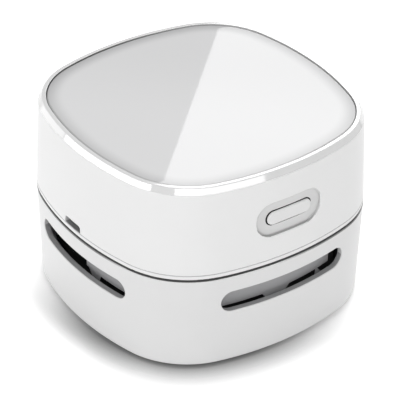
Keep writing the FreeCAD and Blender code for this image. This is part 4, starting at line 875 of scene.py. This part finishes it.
legs = join_up("chip_legs", copies_at(leg, [(0, 0, 0)], [upright, half_turn]))
dress(moulded("chip_epoxy", (0.03, 0.03, 0.032), 0.5, cloud=0.3, grain=0.0002, depth=0.000015), chip)
dress(plated("tinned_legs", 0.7, 0.3), legs)
chip = join_up("chip", [chip, legs])
chips = join_up("board_chip_pair", copies_at(chip, [(chip_x, y, board_top) for y in (-chip_y, chip_y)]))
settle(chips, "head", "board_chips")

can_x, can_radius, can_height, groove = -0.0243, 0.0025, 0.006, 0.0003
capacitor = turned("smoothing_capacitor", [
    (0, 0), (can_radius - 0.0002, 0), (can_radius, 0.0002), (can_radius, 0.0009), (can_radius - groove, 0.0011),
    (can_radius - groove, 0.0013), (can_radius, 0.0015), (can_radius, can_height - 0.0003),
    (can_radius - 0.0003, can_height), (can_radius - 0.0006, can_height), (can_radius - 0.0007, can_height - 0.0002),
    (0, can_height - 0.0002)], 32)
capacitor.data.transform(Matrix.Translation((can_x, 0, board_top)))
dress(moulded("capacitor_sleeve", (0.04, 0.04, 0.05), 0.3, cloud=0.2, depth=0.000003, coat_weight=0.4), capacitor)
dress_faces(capacitor, plated("capacitor_top", (0.75, 0.75, 0.76), 0.35),
            lambda co: co.z > board_top + can_height - 0.00025)
settle(capacitor, "head", "board_capacitor")

socket_face, shell_white = -0.0397, (0.7, 0.7, 0.72)
socket_shell = plated("socket_shell", shell_white, 0.25)
# The socket's front face is painted near black, as painted shade in its mouth.
mouth_shade = socket_shell.between(socket_shell.along("X"), socket_face + 0.00015, socket_face + 0.0001)
socket_shell.colour(mouth_shade, shell_white, 0.02, metallic=1 - mouth_shade)
dress(socket_shell, "charging_socket")

lead_socket_x, lead_socket_places, lead_socket_width, lead_socket_side = -0.025, (-0.0094, 0.0114), 0.0046, 0.004
lead_socket = block((lead_socket_width, lead_socket_side, lead_socket_side), (0, 0, lead_socket_side / 2))
pick("FACE", lambda co: co.z > lead_socket_side - 1e-6)
step_in(0.0005, (0, 0, -0.0007))
step_in(0.0002, (0, 0, 0.0005))
pick("FACE", lambda co: co.x < -lead_socket_width / 2 + 1e-6)
step_in(0.0008, (0.0004, 0, 0))
close_up()
round_off(lead_socket, 0.0001, 2)
lead_sockets = join_up("lead_socket_pair", copies_at(lead_socket, [
    (lead_socket_x, y, board_top) for y in lead_socket_places]))
dress(moulded("socket_nylon", (0.78, 0.76, 0.7), 0.4, cloud=0.06, depth=0.000004), lead_sockets)
settle(lead_sockets, "head", "lead_sockets")
board_screw_x, board_screw_places, board_screw_face = -0.0205, (-0.0085, 0.0105), 0.03665
head_down = Matrix.Rotation(math.pi, 4, "X")
screws("board_screw_set", "head", "board_screws", reach=0.0071, sunk=False,
       seats=[(board_screw_x, y, board_screw_face) for y in board_screw_places], way=head_down)

# ------ battery
# One lithium cell in a blue shrink sleeve, whose steel ends stay bare inside a white ring. It lies
# on two foam strips in its cradle, and a nickel tab is welded to each end.

cell_y, cell_z, cell_half, cell_radius, bare_inset, ring_inset = 0.0248, 0.03175, 0.02148, 0.0071, 0.0018, 0.0009
cell = Finish("cell_sleeve")
from_axis = from_spot(cell.along("Y") - cell_y, cell.along("Z") - cell_z)
on_end = cell.between(abs(cell.along("X")), cell_half - 0.0002, cell_half - 0.00015)
bare, ring = (on_end * cell.between(from_axis, cell_radius - inset, cell_radius - inset - 0.00005)
              for inset in (bare_inset, ring_inset))
creases = cell.noise(0.0012, 3.0, (0.15, 1.0, 1.0))
wrap = cell.blend(creases, (0.05, 0.2, 0.42), (0.07, 0.25, 0.48))
wrap = cell.blend(ring, wrap, (0.8, 0.8, 0.78))
cell.colour(bare, wrap, (0.6, 0.6, 0.62), metallic=bare, roughness=creases * 0.15 + 0.22)
cell.relief(creases, 0.00002)
dress(cell, "battery_cell")
dress(plated("nickel", (0.66, 0.64, 0.6), 0.3), "battery_tabs")
foam_black = Finish("foam_black", roughness=0.95, specular_ior_level=0.1)
cells = foam_black.cells(2200.0)
foam_black.colour(foam_black.between(cells, 0.1, 0.5), 0.02, 0.09)
foam_black.relief(cells, 0.0002)
dress(foam_black, "battery_pads")

# ------ leads
# Red PVC leads join the battery, the motor and the switch to the board. Their skin is glossy, with
# paler stress marks in it.

lead_red = Finish("lead_red", coat_weight=0.3, coat_roughness=0.1)
stress = lead_red.between(lead_red.noise(0.003, 4.0), 0.5, 0.72)
lead_red.colour(stress, (0.5, 0.035, 0.03), (0.6, 0.09, 0.08), roughness=stress * 0.15 + 0.32)
lead_red.relief(lead_red.noise(0.0006), 0.00001)
dress(lead_red, "battery_leads", "motor_leads", "switch_leads")

# ------ switch
# A push switch on a small upright board, screwed to two bosses behind the front wall. Its black
# plunger rests against the button's back and goes in with it.

button_level, switch_screw_face, switch_boss_place = 0.0444, -0.0272, 0.0115
to_front = Matrix.Rotation(math.pi / 2, 4, "X")
dress(printed("switch_green", "X", "Z"), "button_board")
switch_width, switch_height, switch_back, switch_front = 0.008, 0.008, -0.0295, -0.0355
switch_body = block((switch_width, switch_back - switch_front, switch_height),
                    (0, (switch_back + switch_front) / 2, button_level))
switch_body.name = "push_switch"
pick("FACE", lambda co: co.y < switch_front + 1e-6)
step_in(0.0006, (0, 0.0005, 0))
step_in(0.0012, (0, -0.0003, 0))
close_up()
round_off(switch_body, 0.0002, 3)
dress(moulded("switch_nylon", (0.03, 0.03, 0.032), 0.4, cloud=0.2, depth=0.000006), switch_body)
settle(switch_body, "head", "switch_body")
dress(moulded("plunger_nylon", (0.06, 0.06, 0.062), 0.3, cloud=0.2, depth=0.000003), "switch_plunger")
screws("switch_screw_set", "head", "button_board_screws", reach=0.0071, sunk=False,
       seats=[(x, switch_screw_face, button_level) for x in (-switch_boss_place, switch_boss_place)], way=to_front)

# ------ upper housing
# The cap of the head, one white ABS moulding closed on top, dished round the button and notched at
# its lower edge for the charging lead. Four screws hold it from below.

upper_foot, upper_top, upper_draft, upper_wall, crown_inside = 0.0319, 0.057, 0.001, 0.002, 0.0552
slope = upper_draft / (upper_top - upper_foot)
inner_draft = upper_wall + slope * (crown_inside - upper_foot)
draw_wall("upper_housing_cap", ((upper_draft, upper_top), (0, upper_foot), (upper_wall, upper_foot),
                                (inner_draft, crown_inside)), closed=False)
soften(0, upper_foot, 0.0002, 3)
sweep()
cap(upper_top)
cap(crown_inside)
upper_housing = close_up()

button_inset = slope * (button_level - upper_foot)
button_face = half_width - button_inset
dish_length, dish_height, dish_depth, dish_edge, dish_level = 0.0213, 0.0104, 0.0007, 0.0004, button_level - 0.00025
opening_length, opening_height, cutter = 0.0153, 0.0048, 0.008
dish = slot_block(dish_length, dish_height, cutter, (0, -button_face, dish_level), steps=24)
clear_selection()
bpy.ops.mesh.primitive_cylinder_add(vertices=1080, radius=button_face - dish_depth - bow_centre, depth=0.03,
                                    location=(0, -bow_centre, button_level))
cut_away(dish, bpy.context.object)
cut_away(upper_housing, dish)
round_off(upper_housing, dish_edge, 5, lambda co: co.y < 0 and abs(co.x) < 0.011 and abs(co.z - dish_level) < 0.0053
          and inset_of(co) < button_inset + 0.0003)
cut_away(upper_housing, slot_block(opening_length, opening_height, cutter, (0, -button_face, button_level)))

socket_y, socket_width, socket_height, notch_corner, notch_edge = 0.00125, 0.0075, 0.0021, 0.001, 0.00012
block((cutter, socket_width, socket_height * 2), (-half_width + 0.001, socket_y, upper_foot))
for side in (-socket_width / 2, socket_width / 2):
    pick("EDGE", lambda co: abs(co.y - socket_y - side) < 1e-6 and co.z > upper_foot)
    bpy.ops.mesh.bevel(offset=notch_corner, segments=8, affect="EDGES")
cut_away(upper_housing, close_up())
round_off(upper_housing, notch_edge, 2, lambda co: co.x < -0.03 and abs(co.y - socket_y) < 0.004
          and upper_foot + 0.00001 < co.z < upper_foot + 0.0022)
case_screw_place, case_boss_radius, case_boss_foot, case_pilot = 0.02548, 0.003, 0.036, 0.0055
switch_boss_radius, switch_boss_back, switch_pilot = 0.0023, 0.0295, 0.0048
mould_on(upper_housing, join_up("bosses", [
    boss(foot, case_boss_radius, crown_inside + 0.0003 - case_boss_foot, case_pilot)
    for foot in four_corners(case_screw_place, case_boss_foot)] + [
    boss((x, -switch_boss_back, button_level), switch_boss_radius, button_face - 0.0016 - switch_boss_back,
         switch_pilot, to_front) for x in (-switch_boss_place, switch_boss_place)]))
# The dish is painted darker than the cap round it, and darker still on its brim's lower left, as painted shade in the
# recess.
dish_shade = Finish("dish_shade", roughness=0.4)
beyond = (abs(dish_shade.along("X")) - (dish_length - dish_height) / 2).maths("MAXIMUM", 0.0)
below = dish_shade.along("Z") - dish_level
shaded_side = dish_shade.between(below + dish_shade.along("X") * 0.35, 0.0015, -0.004)
brim_shade = dish_shade.between(from_spot(beyond, below), 0.0044, 0.0055) * (shaded_side * 0.85 + 0.15)
dish_shade.colour(brim_shade, 0.69, 0.36)
# The walls of the button's opening and the cap's sides deeper than the dish are painted near black, as painted shade
# in the gap.
gap_shade = moulded("gap_shade", 0.03, 0.7)
dress(moulded("upper_white", 0.85, 0.3, depth=0.0000008), upper_housing)
# The notch's cut faces are painted dark grey, as painted shade.
dress_faces(upper_housing, moulded("notch_shade", 0.14, 0.5), lambda co: co.x < -0.0395
            and abs(co.y - socket_y) < 0.0039 and co.z < upper_foot + 0.0022 and inset_of(co) > 0.0002)
dress_faces(upper_housing, dish_shade, lambda co: co.y < 0 and abs(co.x) < 0.0107
            and abs(co.z - dish_level) < 0.00525 and inset_of(co) > button_inset - 0.0001)
dress_faces(upper_housing, gap_shade, lambda co: co.y < 0 and abs(co.x) < 0.0078
            and abs(co.z - button_level) < 0.0024 and inset_of(co) > 0.00115)
settle(upper_housing, "head", "upper_housing")

# ------ rim ring
# A bevelled ring of white ABS, polished glossier than the cap that it is snapped on. It frames the
# plate and hides its edge.

rim_top, rim_bevel, rim_lip, rim_edge, lip_edge = 0.0586, 0.0011, 0.0011, 0.00025, 0.0001
rim_outer = upper_draft + rim_bevel
rim_inner = rim_outer + rim_lip
draw_wall("rim_ring_trim", ((upper_draft, upper_top), (rim_outer, rim_top), (rim_inner, rim_top),
                            (rim_inner, upper_top)))
soften(rim_outer, rim_top, rim_edge)
soften(rim_inner, rim_top, lip_edge)
sweep()
rim_ring = close_up()
dress(moulded("rim_white", 0.68, 0.06, ior=1.7, specular_ior_level=1.0, coat_weight=1.0, coat_roughness=0.02,
              coat_ior=1.7), rim_ring)
# The rim's inner wall above the plate is painted dark, darker on the left, as painted shade.
joint_shade = Finish("joint_shade", roughness=0.5)
joint_shade.colour(joint_shade.between(joint_shade.along("X"), -0.01, 0.03), 0.19, 0.52)
dress_faces(rim_ring, joint_shade, lambda co: inset_of(co) > rim_inner - 0.00001 and co.z < rim_top - 0.0001)
settle(rim_ring, "head", "rim_ring")

# ------ top plate
# A flat polished plate of clear acrylic, sprayed white on its back, and bonded inside the rim just
# below its lip. Its colour is painted darker near its edges and towards the back, with a dark line
# along its edge, as painted shade.

plate_inset, plate_top, plate_edge, plate_flat = rim_inner + 0.00005, 0.0583, 0.0005, 0.002
draw_wall("top_plate_panel", ((plate_inset, upper_top), (plate_inset, plate_top),
                              (plate_inset + plate_flat, plate_top)), closed=False)
soften(plate_inset, plate_top, plate_edge, 6)
sweep()
cap(upper_top)
pick("EDGE", lambda co: abs(inset_of(co) - plate_inset - plate_flat) < 1e-5)
bpy.ops.mesh.edge_face_add()
top_plate = close_up()
plate = Finish("plate_white", roughness=0.02)
ahead, aside = from_middle(plate)
in_corner = aside.maths("GREATER_THAN", (ahead - bow_centre) * math.tan(bow_turn))
in_bow = side_radius - from_spot(ahead - bow_centre, aside)
in_round = corner_radius - from_spot(ahead - corner_centre, aside - corner_centre)
inside = in_bow * (1 - in_corner) + in_round * in_corner
# The plate is painted darker near its edges and towards the back, with a dark line at its edge, as painted shade.
plate_edge_fade = plate.between(inside, plate_inset, plate_inset + 0.005)
across = plate.along("X") + plate.along("Y")
front = plate.between(across, 0.01, -0.02)
back = plate.between(across, -0.02, 0.04)
line = plate.between(inside - front * 0.00062, plate_inset + 0.00018, plate_inset + 0.0001)
plate_white_shaded = plate.blend(back, (0.775, 0.775, 0.78), (0.72, 0.72, 0.725))
plate_edge_shade = plate.blend(front, (0.46, 0.46, 0.465), (0.6, 0.6, 0.605))
side = plate.between(plate.along("X"), -0.01, 0.03)
plate_line_shade = plate.blend(front, plate.blend(side, 0.2, 0.48), plate.blend(side, 0.5, 0.3))
plate.colour(line, plate.blend(plate_edge_fade, plate_edge_shade, plate_white_shaded), plate_line_shade)
dress(plate, top_plate)
settle(top_plate, "head", "top_plate")

# ------ power button
# A pill-shaped satin ABS cap that stands in the dished recess, with its front edge rounded over. A
# wider flange behind the wall keeps it in.

cap_length, cap_height, cap_edge, cap_face = 0.0146, 0.0041, 0.0005, button_face - 0.00025
flange_length, flange_height, flange_depth, flange_gap = 0.0166, 0.0065, 0.001, 0.00075
flange_face = button_face - upper_wall - flange_gap
cap_back = flange_face - flange_depth / 2
power_button = slot_block(cap_length, cap_height, cap_face - cap_back, (0, -(cap_face + cap_back) / 2, button_level))
power_button.name = "power_button_cap"
round_off(power_button, cap_edge, 5, lambda co: co.y < -cap_face + 1e-5)
mould_on(power_button, slot_block(flange_length, flange_height, flange_depth,
                                  (0, flange_depth / 2 - flange_face, button_level)))
dress(moulded("button_white", 0.8, 0.3, depth=0.000001), power_button)
# The cap's sides deeper than the dish are painted near black, as painted shade in the gap.
dress_faces(power_button, gap_shade, lambda co: co.y > -cap_face + 0.00042)
settle(power_button, "button", "power_button")

# ------ case screws
# Four long pan-headed steel screws, the last to go in. They go up inside the chassis pillars into
# the bosses of the cap.

case_screw_face = 0.0314
screws("case_screw_set", "head", "case_screws", reach=0.0101, sunk=False,
       seats=four_corners(case_screw_place, case_screw_face))
